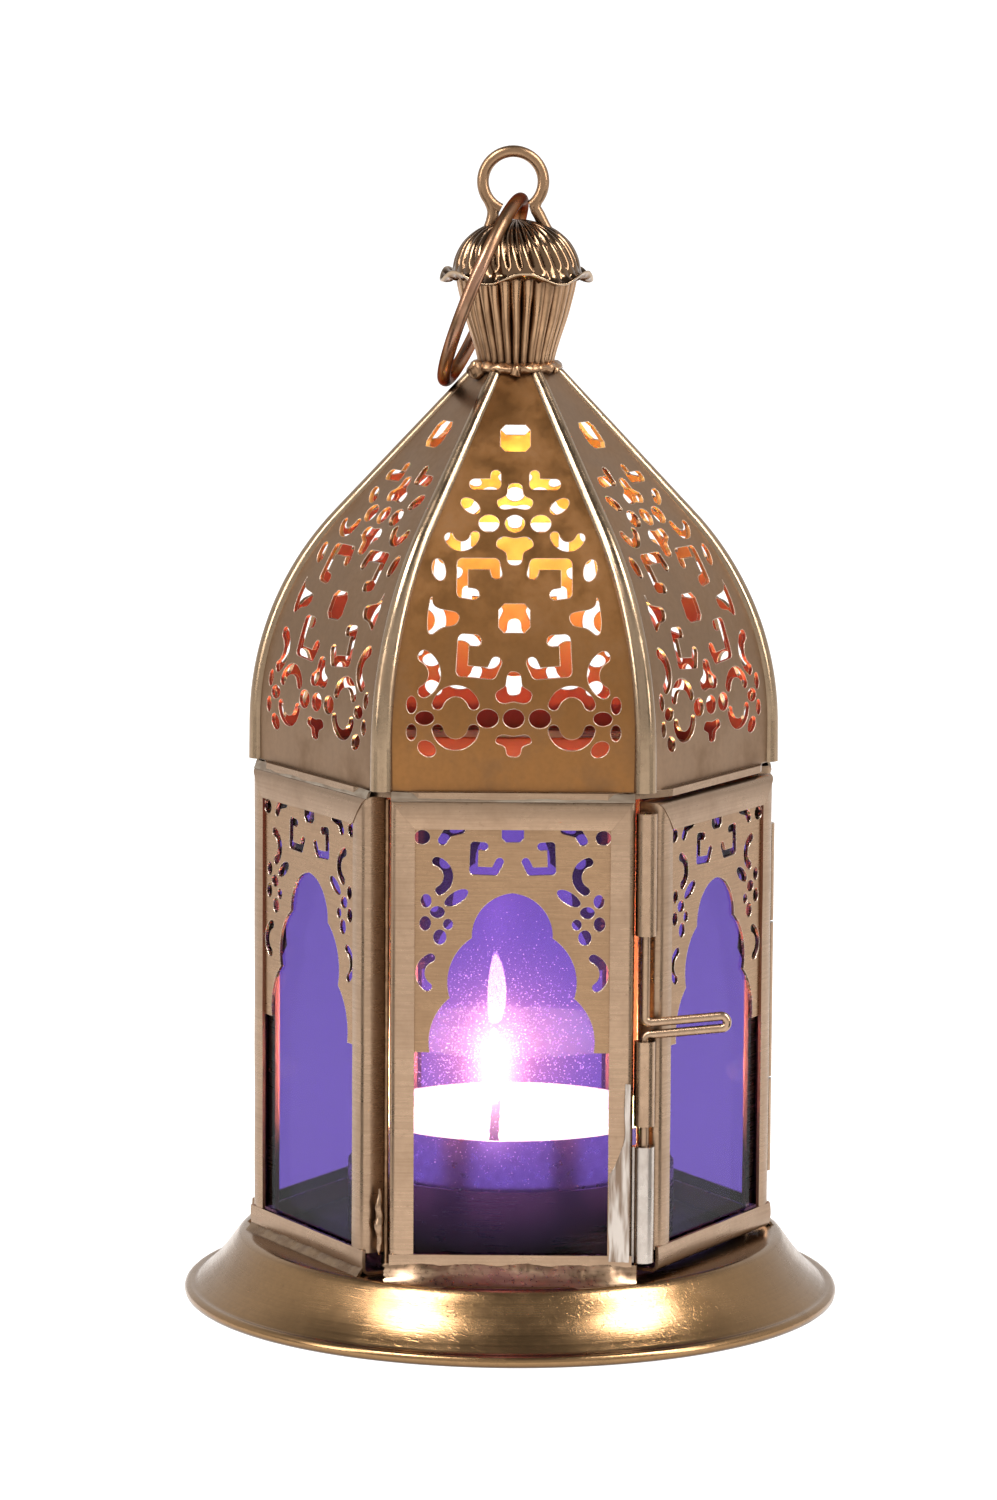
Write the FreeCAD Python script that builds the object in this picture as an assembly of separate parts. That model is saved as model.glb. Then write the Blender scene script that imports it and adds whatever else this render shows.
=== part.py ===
"""Candle lantern: six-sided glass walls on a spun base, pierced dome roof, hinged door, carry ring.

Millimetres, +Z up, origin at the centre of the base's underside. The front wall faces -Y.
Walls and roof panels are drawn once, facing -Y, and turned about Z to their side.
"""
import FreeCAD
import Part
import math
import os

V = FreeCAD.Vector
Z_AXIS = V(0, 0, 1)
ORIGIN = V(0, 0, 0)

# Sides, by the angle each is turned from the front
SIDES = {"front": 0, "door": 60, "back_right": 120, "back": 180, "back_left": 240, "left": 300}
DOOR = "door"

# Base dish
BASE_HEIGHT = 8.2
BASE_FLARE = 7.3
BASE_SHEET = 0.8
CONE_INSET = 0.4
RIM_FLANGE = 1.6
RIM_HEIGHT = 1.5
RIM_FALL = 0.45
RIM_CHAMFER = 0.35
SHOULDER_MARGIN = 1.24
SHOULDER_ROUND = 2.0

# Wall frames, folded from channel
WALL_APOTHEM = 29.8
WALL_HEIGHT = 60.0
CORNER_GAP = 0.42
FRAME_DEPTH = 3.4
FRAME_SHEET = 0.4
FOLD_ROUND = 0.35
STILE_FACE = 3.0
TOP_RAIL_FACE = 3.6
BOTTOM_RAIL_FACE = 3.2
PANE_PLAY = 0.3
FRET_SHEET = 0.4
DOOR_FLOOR_GAP = 0.7
DOOR_ROOF_GAP = 0.5

# Fret pattern, drawn for a wall this high with this clear width, and scaled to the wall
FRET_DRAWN_WIDTH = 24.0
FRET_DRAWN_HEIGHT = 60.0

# Roof
ROOF_SETBACK = 1.2
ROOF_SHEET = 0.5
ROOF_BAND = 4.9
ROOF_BEND_RADIUS = 42.8
ROOF_BEND_ANGLE = 38.6
NECK_APOTHEM = 4.8
ROOF_RIM_PLATE = 0.9
ROOF_RIM_SETBACK = 0.4
ROOF_RIM_LAP = 0.4
ROOF_RIM_CORNER_CUT = 2.35
RIB_FOOT_RADIUS = 1.5
RIB_NECK_RADIUS = 0.9
RIB_SINK = 0.85

# Roof pattern, drawn for a panel of this size and scaled to the panel
ROOF_DRAWN_APOTHEM = 28.6
ROOF_DRAWN_HEIGHT = 49.4

# Finial
COLLAR_LAP = 1.3
COLLAR_HEIGHT = 0.9
COLLAR_CHAMFER = 0.5
COLLAR_SPIGOT = 1.5
COLLAR_SPIGOT_PLAY = 1.2
PLEATS = 24
CUP_FOOT_RADIUS = 5.2
CUP_TOP_RADIUS = 7.9
CUP_HEIGHT = 10.6
CUP_PLEAT_FOOT = 0.25
CUP_PLEAT_TOP = 0.9
CUP_SHEET = 0.5
CAP_FLARE = 1.8
CAP_RIM_RISE = 0.4
CAP_SWELL = 0.2
CAP_DOME_HEIGHT = 8.2
CAP_LIP_LAP = 0.5
CAP_SHEET = 0.5

# Hanging eye and carry ring
EYE_WIRE = 1.5
EYE_RADIUS = 3.8
EYE_GAP_ANGLE = 45.0
EYE_LEG_SPREAD = 3.9
EYE_LEG_DROP = 3.4
EYE_LEAN = -0.5
RING_WIRE = 1.7
RING_RADIUS = 12.3
RING_SEAT_X = 0.35
RING_SEAT_GAP = 0.75
RING_REST_GAP = 0.25
RING_TURN = -8.0

# Tealight and its ring
TEALIGHT_RADIUS = 19.0
TEALIGHT_HEIGHT = 15.3
TEALIGHT_WALL = 0.3
WAX_DROP = 0.4
WAX_PLAY = 0.05
WICK_RADIUS = 0.75
WICK_RISE = 3.6
WICK_X = -2.2
WICK_TAB_RADIUS = 6.0
WICK_TAB_SHEET = 0.3
WICK_TAB_NECK_RADIUS = 1.6
WICK_TAB_NECK = 2.5
CANDLE_RING_PLAY = 0.7
CANDLE_RING_WALL = 0.5
CANDLE_RING_HEIGHT = 9.0

# Latch in the groove between the front wall and the door
LATCH_WIRE = 1.1
LATCH_BORE_PLAY = 0.1
LATCH_TUBE_WALL = 0.65
LATCH_SIDE_GAP = 0.12
LATCH_TAIL = 1.2
TOP_TUBE_DROP = 1.1
TOP_TUBE_LENGTH = 15.2
MID_TUBE_LIFT = 18.7
MID_TUBE_LENGTH = 10.6
KEEPER_LIFT = 2.2
KEEPER_LENGTH = 14.6
BOLT_REACH = 7.0
BOLT_HOLD = 4.6
BOLT_REST_GAP = 0.2
BOLT_LEG_GAP = 0.4
BOLT_INNER_BEND = 0.13
HANDLE_LENGTH = 10.2
HANDLE_TILT = 7.0
HANDLE_CLEARANCE = 0.23

# Hinge in the groove behind the door's other edge
HINGE_PIN = 0.9
HINGE_BORE_PLAY = 0.06
KNUCKLE_WALL = 0.44
HINGE_SIDE_GAP = 0.25
HINGE_TAIL = 0.9
KNUCKLE_STEP = 0.3
DOOR_KNUCKLE_LENGTH = 20.0
FIXED_KNUCKLE_LENGTH = 12.0
PIN_HEAD = 0.5

# How far a punch runs past the sheet, and a square hole's corner as a share of its side
PUNCH_OVERRUN = 1.0
SOFT_CORNER = 0.2

# Half the angle that one side takes, and the levels, for all pieces
SIXTH = math.radians(30)
WALL_TOP = BASE_HEIGHT + WALL_HEIGHT
ROOF_EDGE = WALL_TOP + ROOF_RIM_PLATE
DOOR_BOTTOM = BASE_HEIGHT + DOOR_FLOOR_GAP
DOOR_TOP = WALL_TOP - DOOR_ROOF_GAP

# Walls: faces and width, with the inner corners of two neighbours a gap apart
FACE_Y = -WALL_APOTHEM
BACK_Y = FACE_Y + FRAME_DEPTH
HALF_WIDTH = (-BACK_Y * math.sin(SIXTH) - CORNER_GAP / 2) / math.cos(SIXTH)

# Base and roof follow the walls
SHOULDER_RADIUS = math.hypot(HALF_WIDTH, WALL_APOTHEM) + SHOULDER_MARGIN
BASE_RADIUS = SHOULDER_RADIUS + BASE_FLARE
ROOF_APOTHEM = WALL_APOTHEM - ROOF_SETBACK
ROOF_RIM_REACH = WALL_APOTHEM - ROOF_RIM_SETBACK
ROOF_RIM_CORNER = ROOF_RIM_REACH / math.cos(SIXTH) - ROOF_RIM_CORNER_CUT
ROOF_RIM_INNER = -BACK_Y - ROOF_RIM_LAP

# The finial follows the neck and the cup's mouth
COLLAR_RADIUS = NECK_APOTHEM + COLLAR_LAP
COLLAR_SPIGOT_RADIUS = NECK_APOTHEM - COLLAR_SPIGOT_PLAY
CUP_MOUTH_RADIUS = CUP_TOP_RADIUS - CUP_PLEAT_TOP - CUP_SHEET
CAP_RIM_RADIUS = CUP_TOP_RADIUS + CAP_FLARE
CAP_DOME_RADIUS = CUP_TOP_RADIUS + CAP_SWELL
CAP_LIP_RADIUS = CUP_MOUTH_RADIUS - CAP_LIP_LAP

# Latch and hinge: tubes round their wires, at heights set from the door and the base
LATCH_TUBE_RADIUS = LATCH_WIRE / 2 + LATCH_BORE_PLAY + LATCH_TUBE_WALL
KNUCKLE_RADIUS = HINGE_PIN / 2 + HINGE_BORE_PLAY + KNUCKLE_WALL
TOP_TUBE_TOP = DOOR_TOP - TOP_TUBE_DROP
TOP_TUBE_BOTTOM = TOP_TUBE_TOP - TOP_TUBE_LENGTH
MID_TUBE_BOTTOM = DOOR_BOTTOM + MID_TUBE_LIFT
MID_TUBE_TOP = MID_TUBE_BOTTOM + MID_TUBE_LENGTH
KEEPER_BOTTOM = BASE_HEIGHT + KEEPER_LIFT
KEEPER_TOP = KEEPER_BOTTOM + KEEPER_LENGTH
HINGE_MIDDLE = (DOOR_BOTTOM + DOOR_TOP) / 2


def box(x0, x1, y0, y1, z0, z1):
    """A block between two corners."""
    return Part.makeBox(x1 - x0, y1 - y0, z1 - z0, V(x0, y0, z0))


def tube(x, y, z0, z1, outer, inner):
    """An upright tube."""
    wall = Part.makeCylinder(outer, z1 - z0, V(x, y, z0))
    return wall.cut(Part.makeCylinder(inner, z1 - z0, V(x, y, z0)))


def turned(shape, degrees):
    """A copy of a shape turned about the lantern's own axis."""
    copy = shape.copy()
    copy.rotate(ORIGIN, Z_AXIS, degrees)
    return copy


def revolved(points):
    """A solid of revolution about Z from (radius, height) points."""
    wire = Part.makePolygon([V(r, 0, z) for r, z in points + points[:1]])
    return Part.Face(wire).revolve(ORIGIN, Z_AXIS, 360)


def swept(path, radius):
    """A round wire along a path of lines and arcs."""
    start = path.OrderedEdges[0]
    where = start.valueAt(start.FirstParameter)
    along = start.tangentAt(start.FirstParameter)
    ring = Part.Wire(Part.makeCircle(radius, where, along))
    return path.makePipeShell([ring], True, False)


def save(name, *solids):
    """Writes one node, as one solid or as a group of separate ones."""
    shape = solids[0] if len(solids) == 1 else Part.makeCompound(list(solids))
    shape.exportStep("parts/" + name + ".step")


# Pierced motifs: flat faces in the XZ plane
def closed_curve(points):
    """A face inside a smooth closed curve."""
    curve = Part.BSplineCurve()
    curve.interpolate([V(x, 0, z) for x, z in points], PeriodicFlag=True)
    return Part.Face(Part.Wire(curve.toShape()))


def oval(x, z, half_width, half_height, tilt=0.0):
    """A tilted oval."""
    long_side = max(half_width, half_height)
    short_side = min(half_width, half_height)
    turn = math.radians(tilt if half_width >= half_height else tilt + 90)
    lengthwise = V(math.cos(turn), 0, math.sin(turn))
    crosswise = V(-math.sin(turn), 0, math.cos(turn))
    centre = V(x, 0, z)
    curve = Part.Ellipse(centre + lengthwise * long_side, centre + crosswise * short_side, centre)
    return Part.Face(Part.Wire(curve.toShape()))


def rounded_square(x, z, width, height):
    """A square hole with softened corners."""
    corner = SOFT_CORNER * min(width, height)
    half_w, half_h = width / 2, height / 2
    points = []
    for sx, sz in ((1, 1), (-1, 1), (-1, -1), (1, -1)):
        near_x = (x + sx * half_w, z + sz * (half_h - corner))
        near_z = (x + sx * (half_w - corner), z + sz * half_h)
        points += [near_x, near_z] if sx == sz else [near_z, near_x]
    return Part.Face(Part.makePolygon([V(px, 0, pz) for px, pz in points + points[:1]]))


def stroke(points, width):
    """A bent slot of even width with round ends."""
    path = Part.makePolygon([V(x, 0, z) for x, z in points])
    return [Part.Face(path.makeOffset2D(width / 2))]


def crescent(start, through, end, width):
    """An arc-shaped slot of even width with round ends."""
    arc = Part.Arc(*[V(x, 0, z) for x, z in (start, through, end)])
    return [Part.Face(Part.Wire(arc.toShape()).makeOffset2D(width / 2))]


def bell(z, half_width, height, point_down=False):
    """A bell-shaped hole on the centre line, upright or hanging point down."""
    flip = -1 if point_down else 1
    half = [(0.0, 0.52), (0.36, 0.38), (0.46, 0.06), (0.94, -0.18), (0.84, -0.42), (0.42, -0.50)]
    right = [(half_width * x, z + flip * height * h) for x, h in half]
    left = [(-x, h) for x, h in reversed(right[1:])]
    return closed_curve(right + [(0.0, z - flip * height * 0.45)] + left)


def both_sides(faces):
    """The faces and their mirror images across the centre line."""
    return faces + [face.mirror(ORIGIN, V(1, 0, 0)) for face in faces]


def scaled(faces, width_scale, height_scale, lift):
    """The faces stretched to the real panel and lifted to its height."""
    matrix = FreeCAD.Matrix()
    matrix.scale(width_scale, 1.0, height_scale)
    matrix.move(V(0, 0, lift))
    return [face.transformGeometry(matrix) for face in faces]


def punched(sheet, faces, y0, y1):
    """The sheet with every motif cut through it between two depths."""
    punches = []
    for face in faces:
        moved = face.copy()
        moved.translate(V(0, y0, 0))
        punches.append(moved.extrude(V(0, y1 - y0, 0)))
    return sheet.cut(punches)


# Base
def make_base():
    """The spun dish: plateau, cone and a narrow flange that stands on the table."""
    flange = BASE_RADIUS - RIM_FLANGE
    edge_top = RIM_HEIGHT - RIM_FALL
    outer = [(0.0, BASE_HEIGHT), (SHOULDER_RADIUS, BASE_HEIGHT), (flange, RIM_HEIGHT),
             (BASE_RADIUS - RIM_CHAMFER, edge_top), (BASE_RADIUS, edge_top - RIM_CHAMFER),
             (BASE_RADIUS, RIM_CHAMFER), (BASE_RADIUS - RIM_CHAMFER, 0.0)]
    inner = [(flange, 0.0), (flange - CONE_INSET, RIM_HEIGHT - BASE_SHEET),
             (SHOULDER_RADIUS - CONE_INSET, BASE_HEIGHT - BASE_SHEET), (0.0, BASE_HEIGHT - BASE_SHEET)]
    dish = revolved(outer + inner)
    shoulder = [edge for edge in dish.Edges
                if isinstance(edge.Curve, Part.Circle) and abs(edge.Curve.Radius - SHOULDER_RADIUS) < 0.01]
    save("base_dish", dish.makeFillet(SHOULDER_ROUND, shoulder))


def make_candle_ring():
    inner = TEALIGHT_RADIUS + CANDLE_RING_PLAY
    top = BASE_HEIGHT + CANDLE_RING_HEIGHT
    save("candle_ring", tube(0, 0, BASE_HEIGHT, top, inner + CANDLE_RING_WALL, inner))


# Walls
def channel_stile(bottom, top):
    """The left stile, open towards the pane, with its folded corners rounded and its top mitred."""
    foot = bottom + BOTTOM_RAIL_FACE
    body = box(-HALF_WIDTH, -HALF_WIDTH + STILE_FACE, FACE_Y, BACK_Y, foot, top)
    folds = [edge for edge in body.Edges
             if abs(edge.BoundBox.XMax + HALF_WIDTH) < 0.001 and edge.BoundBox.ZLength > 1]
    body = body.makeFillet(FOLD_ROUND, folds)
    slot = box(-HALF_WIDTH + FRAME_SHEET, HALF_WIDTH, FACE_Y + FRAME_SHEET, BACK_Y - FRAME_SHEET, foot, top)
    return body.cut(slot).cut(mitre_wedge(top))


def mitre_wedge(top):
    """The space above the left mitre, which the top rail fills."""
    corner = [V(-HALF_WIDTH, FACE_Y, top), V(-HALF_WIDTH + STILE_FACE, FACE_Y, top - TOP_RAIL_FACE),
              V(HALF_WIDTH - STILE_FACE, FACE_Y, top - TOP_RAIL_FACE), V(HALF_WIDTH, FACE_Y, top)]
    return Part.Face(Part.makePolygon(corner + corner[:1])).extrude(V(0, FRAME_DEPTH, 0))


def channel_rails(bottom, top):
    """The mitred top rail and the full-width bottom rail."""
    upper = mitre_wedge(top)
    upper = upper.cut(box(-HALF_WIDTH, HALF_WIDTH, FACE_Y + FRAME_SHEET, BACK_Y - FRAME_SHEET,
                          top - TOP_RAIL_FACE, top - FRAME_SHEET))
    lower = box(-HALF_WIDTH, HALF_WIDTH, FACE_Y, BACK_Y, bottom, bottom + BOTTOM_RAIL_FACE)
    lower = lower.cut(box(-HALF_WIDTH, HALF_WIDTH, FACE_Y + FRAME_SHEET, BACK_Y - FRAME_SHEET,
                          bottom + FRAME_SHEET, bottom + BOTTOM_RAIL_FACE))
    return upper, lower


def pane(bottom, top):
    """The glass, standing in the bottom rail behind the fret sheet."""
    half = HALF_WIDTH - FRAME_SHEET - PANE_PLAY
    return box(-half, half, FACE_Y + FRAME_SHEET + FRET_SHEET, BACK_Y - FRAME_SHEET,
               bottom + FRAME_SHEET, top - FRAME_SHEET - PANE_PLAY)


# Heights in the fret pattern are measured down from the wall's top edge
ARCH_FOOT = -31.4
ARCH_APEX = (0.0, -11.5)
ARCH_LOBES = [((3.6, -13.3), (4.95, -17.1)), ((7.3, -19.8), (7.65, -24.6)), ((9.6, -27.2), (10.1, ARCH_FOOT))]


def arch_opening():
    """The lobed arch that the fret leaves open."""
    edges = []
    start = ARCH_APEX
    for through, end in ARCH_LOBES:
        for side in (1, -1):
            points = [V(side * x, 0, z) for x, z in (start, through, end)]
            edges.append(Part.Arc(*points).toShape())
        start = end
    foot = start[0]
    edges.append(Part.LineSegment(V(foot, 0, ARCH_FOOT), V(-foot, 0, ARCH_FOOT)).toShape())
    return Part.Face(Part.Wire(Part.__sortEdges__(edges)))


def fret_motifs():
    """Holes of the fret: scrolls, leaves and dots on both sides of the arch."""
    side = [oval(11.1, -4.6, 0.95, 0.9)]
    side += stroke([(6.4, -3.6), (8.0, -4.0), (8.6, -5.0)], 1.15)
    side += stroke([(3.5, -5.7), (4.7, -5.6), (4.8, -8.7), (2.2, -8.8), (1.6, -7.6)], 1.0)
    side += crescent((9.3, -7.6), (7.9, -9.2), (8.9, -11.2), 1.15)
    side += [oval(6.9, -12.1, 1.65, 0.75, -32)]
    side += [oval(10.6, -12.5, 0.65, 0.85), oval(9.2, -13.9, 0.9, 0.75), oval(10.7, -15.3, 0.7, 0.9)]
    side += [oval(7.9, -15.4, 0.6, 0.68), oval(8.9, -17.0, 0.8, 0.95)]
    side += crescent((10.0, -19.6), (11.3, -21.3), (10.4, -23.2), 1.1)
    return both_sides(side) + [rounded_square(0.0, -3.9, 2.7, 2.6), arch_opening()]


def fret(bottom, top):
    """The pierced sheet between the front flange and the glass."""
    wide = 2 * (HALF_WIDTH - STILE_FACE) / FRET_DRAWN_WIDTH
    high = (top - bottom) / FRET_DRAWN_HEIGHT
    half = HALF_WIDTH - FRAME_SHEET - PANE_PLAY
    front = FACE_Y + FRAME_SHEET
    back = front + FRET_SHEET
    sheet = box(-half, half, front, back, top + high * ARCH_FOOT, top - FRAME_SHEET - PANE_PLAY)
    holes = scaled(fret_motifs(), wide, high, top)
    return punched(sheet, holes, front - PUNCH_OVERRUN, back + PUNCH_OVERRUN)


def wall_pieces(bottom, top):
    """The pieces of one wall, facing the front."""
    left = channel_stile(bottom, top)
    right = left.mirror(ORIGIN, V(1, 0, 0))
    return {"stiles": [left, right], "rails": channel_rails(bottom, top), "glass": [pane(bottom, top)],
            "fret": [fret(bottom, top)]}


def make_walls():
    fixed = wall_pieces(BASE_HEIGHT, WALL_TOP)
    swinging = wall_pieces(DOOR_BOTTOM, DOOR_TOP)
    for side, angle in SIDES.items():
        pieces = swinging if side == DOOR else fixed
        for piece, solids in pieces.items():
            save(side + "_" + piece, *[turned(solid, angle) for solid in solids])


# Roof
BEND = math.radians(ROOF_BEND_ANGLE)
BEND_Z = ROOF_EDGE + ROOF_BAND
BEND_END_Z = BEND_Z + ROOF_BEND_RADIUS * math.sin(BEND)
BEND_END = ROOF_APOTHEM - ROOF_BEND_RADIUS * (1 - math.cos(BEND))
NECK_Z = BEND_END_Z + (BEND_END - NECK_APOTHEM) / math.tan(BEND)


def roof_curve(inset):
    """The panel's line from the roof's edge to the neck, set in by a sheet's thickness."""
    radius = ROOF_BEND_RADIUS - inset
    centre = ROOF_APOTHEM - ROOF_BEND_RADIUS
    middle = BEND / 2
    edge = V(0, -(ROOF_APOTHEM - inset), ROOF_EDGE)
    band = V(0, -(ROOF_APOTHEM - inset), BEND_Z)
    through = V(0, -(centre + radius * math.cos(middle)), BEND_Z + radius * math.sin(middle))
    end = V(0, -(centre + radius * math.cos(BEND)), BEND_Z + radius * math.sin(BEND))
    neck = V(0, -NECK_APOTHEM, end.z + (-end.y - NECK_APOTHEM) / math.tan(BEND))
    lower = Part.LineSegment(edge, band).toShape()
    bend = Part.Arc(band, through, end).toShape()
    upper = Part.LineSegment(end, neck).toShape()
    return [lower, bend, upper], edge, neck


def sixth_wedge(reach, height):
    """One sixth of the space about the axis, facing the front."""
    side = reach / math.cos(SIXTH)
    corners = [ORIGIN, V(-side * math.sin(SIXTH), -reach, 0), V(side * math.sin(SIXTH), -reach, 0)]
    return Part.Face(Part.makePolygon(corners + corners[:1])).extrude(V(0, 0, height))


def across(face):
    """A face in the YZ plane drawn out to both sides."""
    moved = face.copy()
    moved.translate(V(-2 * ROOF_APOTHEM, 0, 0))
    return moved.extrude(V(4 * ROOF_APOTHEM, 0, 0))


def roof_sector(sheet):
    """One panel's sector: a bent sheet, or solid to the axis when no sheet is given."""
    outer, edge, neck = roof_curve(0.0)
    if sheet:
        inner, inner_edge, inner_neck = roof_curve(sheet)
        ends = [Part.LineSegment(edge, inner_edge).toShape(), Part.LineSegment(neck, inner_neck).toShape()]
        loop = outer + inner + ends
    else:
        top, foot = V(0, 0, neck.z), V(0, 0, edge.z)
        points = [neck, top, foot, edge]
        loop = outer + [Part.LineSegment(a, b).toShape() for a, b in zip(points, points[1:])]
    face = Part.Face(Part.Wire(Part.__sortEdges__(loop)))
    return across(face).common(sixth_wedge(2 * ROOF_APOTHEM, 2 * NECK_Z))


# Heights in the roof pattern are measured up from the roof's lower edge
def roof_motifs():
    """Holes of one roof panel, from the neck down."""
    side = stroke([(2.4, 37.3), (2.4, 36.3), (5.0, 36.3)], 1.25)
    side += [oval(5.5, 33.8, 1.3, 0.75, 33)]
    side += [oval(3.2, 31.8, 1.25, 1.0)]
    side += crescent((4.9, 30.4), (6.4, 29.2), (8.1, 30.2), 1.1)
    side += stroke([(2.2, 26.1), (2.5, 27.2), (6.4, 27.2), (6.4, 23.9), (5.0, 23.7)], 1.3)
    side += [oval(9.3, 26.5, 0.8, 1.3, -14)]
    side += [closed_curve([(10.1, 23.1), (9.2, 22.0), (6.8, 21.1), (7.1, 20.3), (9.0, 19.7), (10.1, 19.0),
                           (10.6, 21.0)])]
    side += stroke([(4.7, 18.3), (6.2, 18.4), (6.4, 14.7), (2.8, 14.4), (2.2, 15.7)], 1.35)
    side += crescent((11.0, 16.4), (9.7, 14.3), (11.0, 12.2), 1.45)
    side += crescent((4.9, 10.7), (7.1, 12.3), (9.3, 10.7), 1.35)
    side += [oval(3.2, 9.0, 1.33, 1.15)]
    side += [oval(10.9, 9.0, 1.15, 0.85), oval(12.5, 10.6, 0.62, 1.05), oval(12.5, 7.3, 0.62, 1.0)]
    side += crescent((4.9, 7.6), (7.1, 5.8), (9.3, 7.6), 1.35)
    side += [oval(10.6, 5.3, 1.2, 0.9, 35)]
    middle = [rounded_square(0.0, 41.6, 3.7, 3.1), bell(34.9, 2.3, 2.95), oval(0.0, 31.8, 1.2, 1.0)]
    middle += [bell(28.7, 2.35, 3.2, True), rounded_square(0.0, 20.9, 3.8, 3.4), bell(12.7, 2.3, 3.7)]
    middle += [oval(0.0, 9.0, 1.3, 1.15), bell(5.7, 2.3, 2.6, True)]
    return both_sides(side) + middle


def rib_path():
    """The roof's corner line in the XZ plane, set in by the rib's sink: two lines and a tangent arc."""
    grow = 1 / math.cos(SIXTH)
    sweep = math.atan(math.tan(BEND) * grow)
    foot = ROOF_APOTHEM * grow - RIB_SINK
    neck_x = NECK_APOTHEM * grow - RIB_SINK
    meet = NECK_Z - (foot - neck_x) / math.tan(sweep)
    tangent = meet - BEND_Z
    radius = tangent / math.tan(sweep / 2)
    start, band, neck = V(foot, 0, ROOF_EDGE), V(foot, 0, BEND_Z), V(neck_x, 0, NECK_Z)
    through = V(foot - radius * (1 - math.cos(sweep / 2)), 0, BEND_Z + radius * math.sin(sweep / 2))
    end = V(foot - tangent * math.sin(sweep), 0, meet + tangent * math.cos(sweep))
    bend = Part.Arc(band, through, end).toShape()
    edges = [Part.LineSegment(start, band).toShape(), bend, Part.LineSegment(end, neck).toShape()]
    return Part.Wire(edges), start, neck, (neck - end)


def rib(dome):
    """A rounded rib lying on the corner of two panels, tapering to the neck."""
    path, start, neck, slope = rib_path()
    foot_ring = Part.Wire(Part.makeCircle(RIB_FOOT_RADIUS, start, Z_AXIS))
    neck_ring = Part.Wire(Part.makeCircle(RIB_NECK_RADIUS, neck, slope))
    bead = path.makePipeShell([foot_ring, neck_ring], True, False)
    trim = Part.makeCylinder(2 * ROOF_APOTHEM, NECK_Z - ROOF_EDGE, V(0, 0, ROOF_EDGE))
    return bead.common(trim).cut(dome)


def make_roof():
    wide = ROOF_APOTHEM / ROOF_DRAWN_APOTHEM
    high = (NECK_Z - ROOF_EDGE) / ROOF_DRAWN_HEIGHT
    holes = scaled(roof_motifs(), wide, high, ROOF_EDGE)
    panel = punched(roof_sector(ROOF_SHEET), holes, -2 * ROOF_APOTHEM, 0)
    sector = roof_sector(0)
    dome = sector.fuse([turned(sector, 60 * step) for step in range(1, 6)])
    corner = rib(dome)
    names = list(SIDES)
    for step, side in enumerate(names):
        save("roof_panel_" + side.replace(DOOR, "right"), turned(panel, SIDES[side]))
        save("roof_rib_" + str(step + 1), turned(corner, SIDES[side]))
    save("roof_rim", roof_rim())


def hexagon(apothem, z, height):
    """An upright six-sided prism with a flat side to the front."""
    reach = apothem / math.cos(SIXTH)
    turns = [2 * SIXTH * step for step in range(7)]
    corners = [V(reach * math.cos(turn), reach * math.sin(turn), z) for turn in turns]
    return Part.Face(Part.makePolygon(corners)).extrude(V(0, 0, height))


def roof_rim():
    """The six-sided plate between the walls and the roof."""
    plate = hexagon(ROOF_RIM_REACH, WALL_TOP, ROOF_RIM_PLATE)
    plate = plate.common(Part.makeCylinder(ROOF_RIM_CORNER, ROOF_RIM_PLATE, V(0, 0, WALL_TOP)))
    return plate.cut(hexagon(ROOF_RIM_INNER, WALL_TOP, ROOF_RIM_PLATE))


# Finial
COLLAR_TOP = NECK_Z + COLLAR_HEIGHT
CUP_TOP = COLLAR_TOP + CUP_HEIGHT
CAP_BASE = CUP_TOP
CAP_TOP = CAP_BASE + CAP_DOME_HEIGHT
EYE_Z = CAP_TOP + EYE_RADIUS


def make_collar():
    """The disc that closes the neck, with a spigot that centres it."""
    foot = NECK_Z - COLLAR_SPIGOT
    spigot = [(0.0, foot), (COLLAR_SPIGOT_RADIUS, foot), (COLLAR_SPIGOT_RADIUS, NECK_Z)]
    disc = [(COLLAR_RADIUS, NECK_Z), (COLLAR_RADIUS, COLLAR_TOP - COLLAR_CHAMFER),
            (COLLAR_RADIUS - COLLAR_CHAMFER, COLLAR_TOP), (0.0, COLLAR_TOP)]
    save("neck_collar", revolved(spigot + disc))


def pleated_ring(radius, depth, z):
    """A closed zigzag of folds round the axis."""
    points = []
    for fold in range(2 * PLEATS):
        reach = radius if fold % 2 == 0 else radius - depth
        angle = math.pi * fold / PLEATS
        points.append(V(reach * math.cos(angle), reach * math.sin(angle), z))
    return Part.makePolygon(points + points[:1])


def make_cup():
    """The pleated cup, an open vessel that stands on the collar."""
    outside = Part.makeLoft([pleated_ring(CUP_FOOT_RADIUS, CUP_PLEAT_FOOT, COLLAR_TOP),
                             pleated_ring(CUP_TOP_RADIUS, CUP_PLEAT_TOP, CUP_TOP)], True, True)
    foot = CUP_FOOT_RADIUS - CUP_PLEAT_FOOT - CUP_SHEET
    inside = Part.makeCone(foot, CUP_MOUTH_RADIUS, CUP_HEIGHT - CUP_SHEET, V(0, 0, COLLAR_TOP + CUP_SHEET))
    save("finial_cup", outside.cut(inside))


def cap_outline(inset):
    """Swelling and top of the cap as (radius, height) points, set in by a sheet's thickness."""
    shares = [(1.0, 0.23), (0.93, 0.44), (0.785, 0.62), (0.62, 0.77), (0.37, 0.9), (0.0, 1.0)]
    reach = CAP_DOME_RADIUS - inset
    rise = CAP_DOME_HEIGHT - inset
    return [(reach * out, CAP_BASE + rise * up) for out, up in shares]


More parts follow.
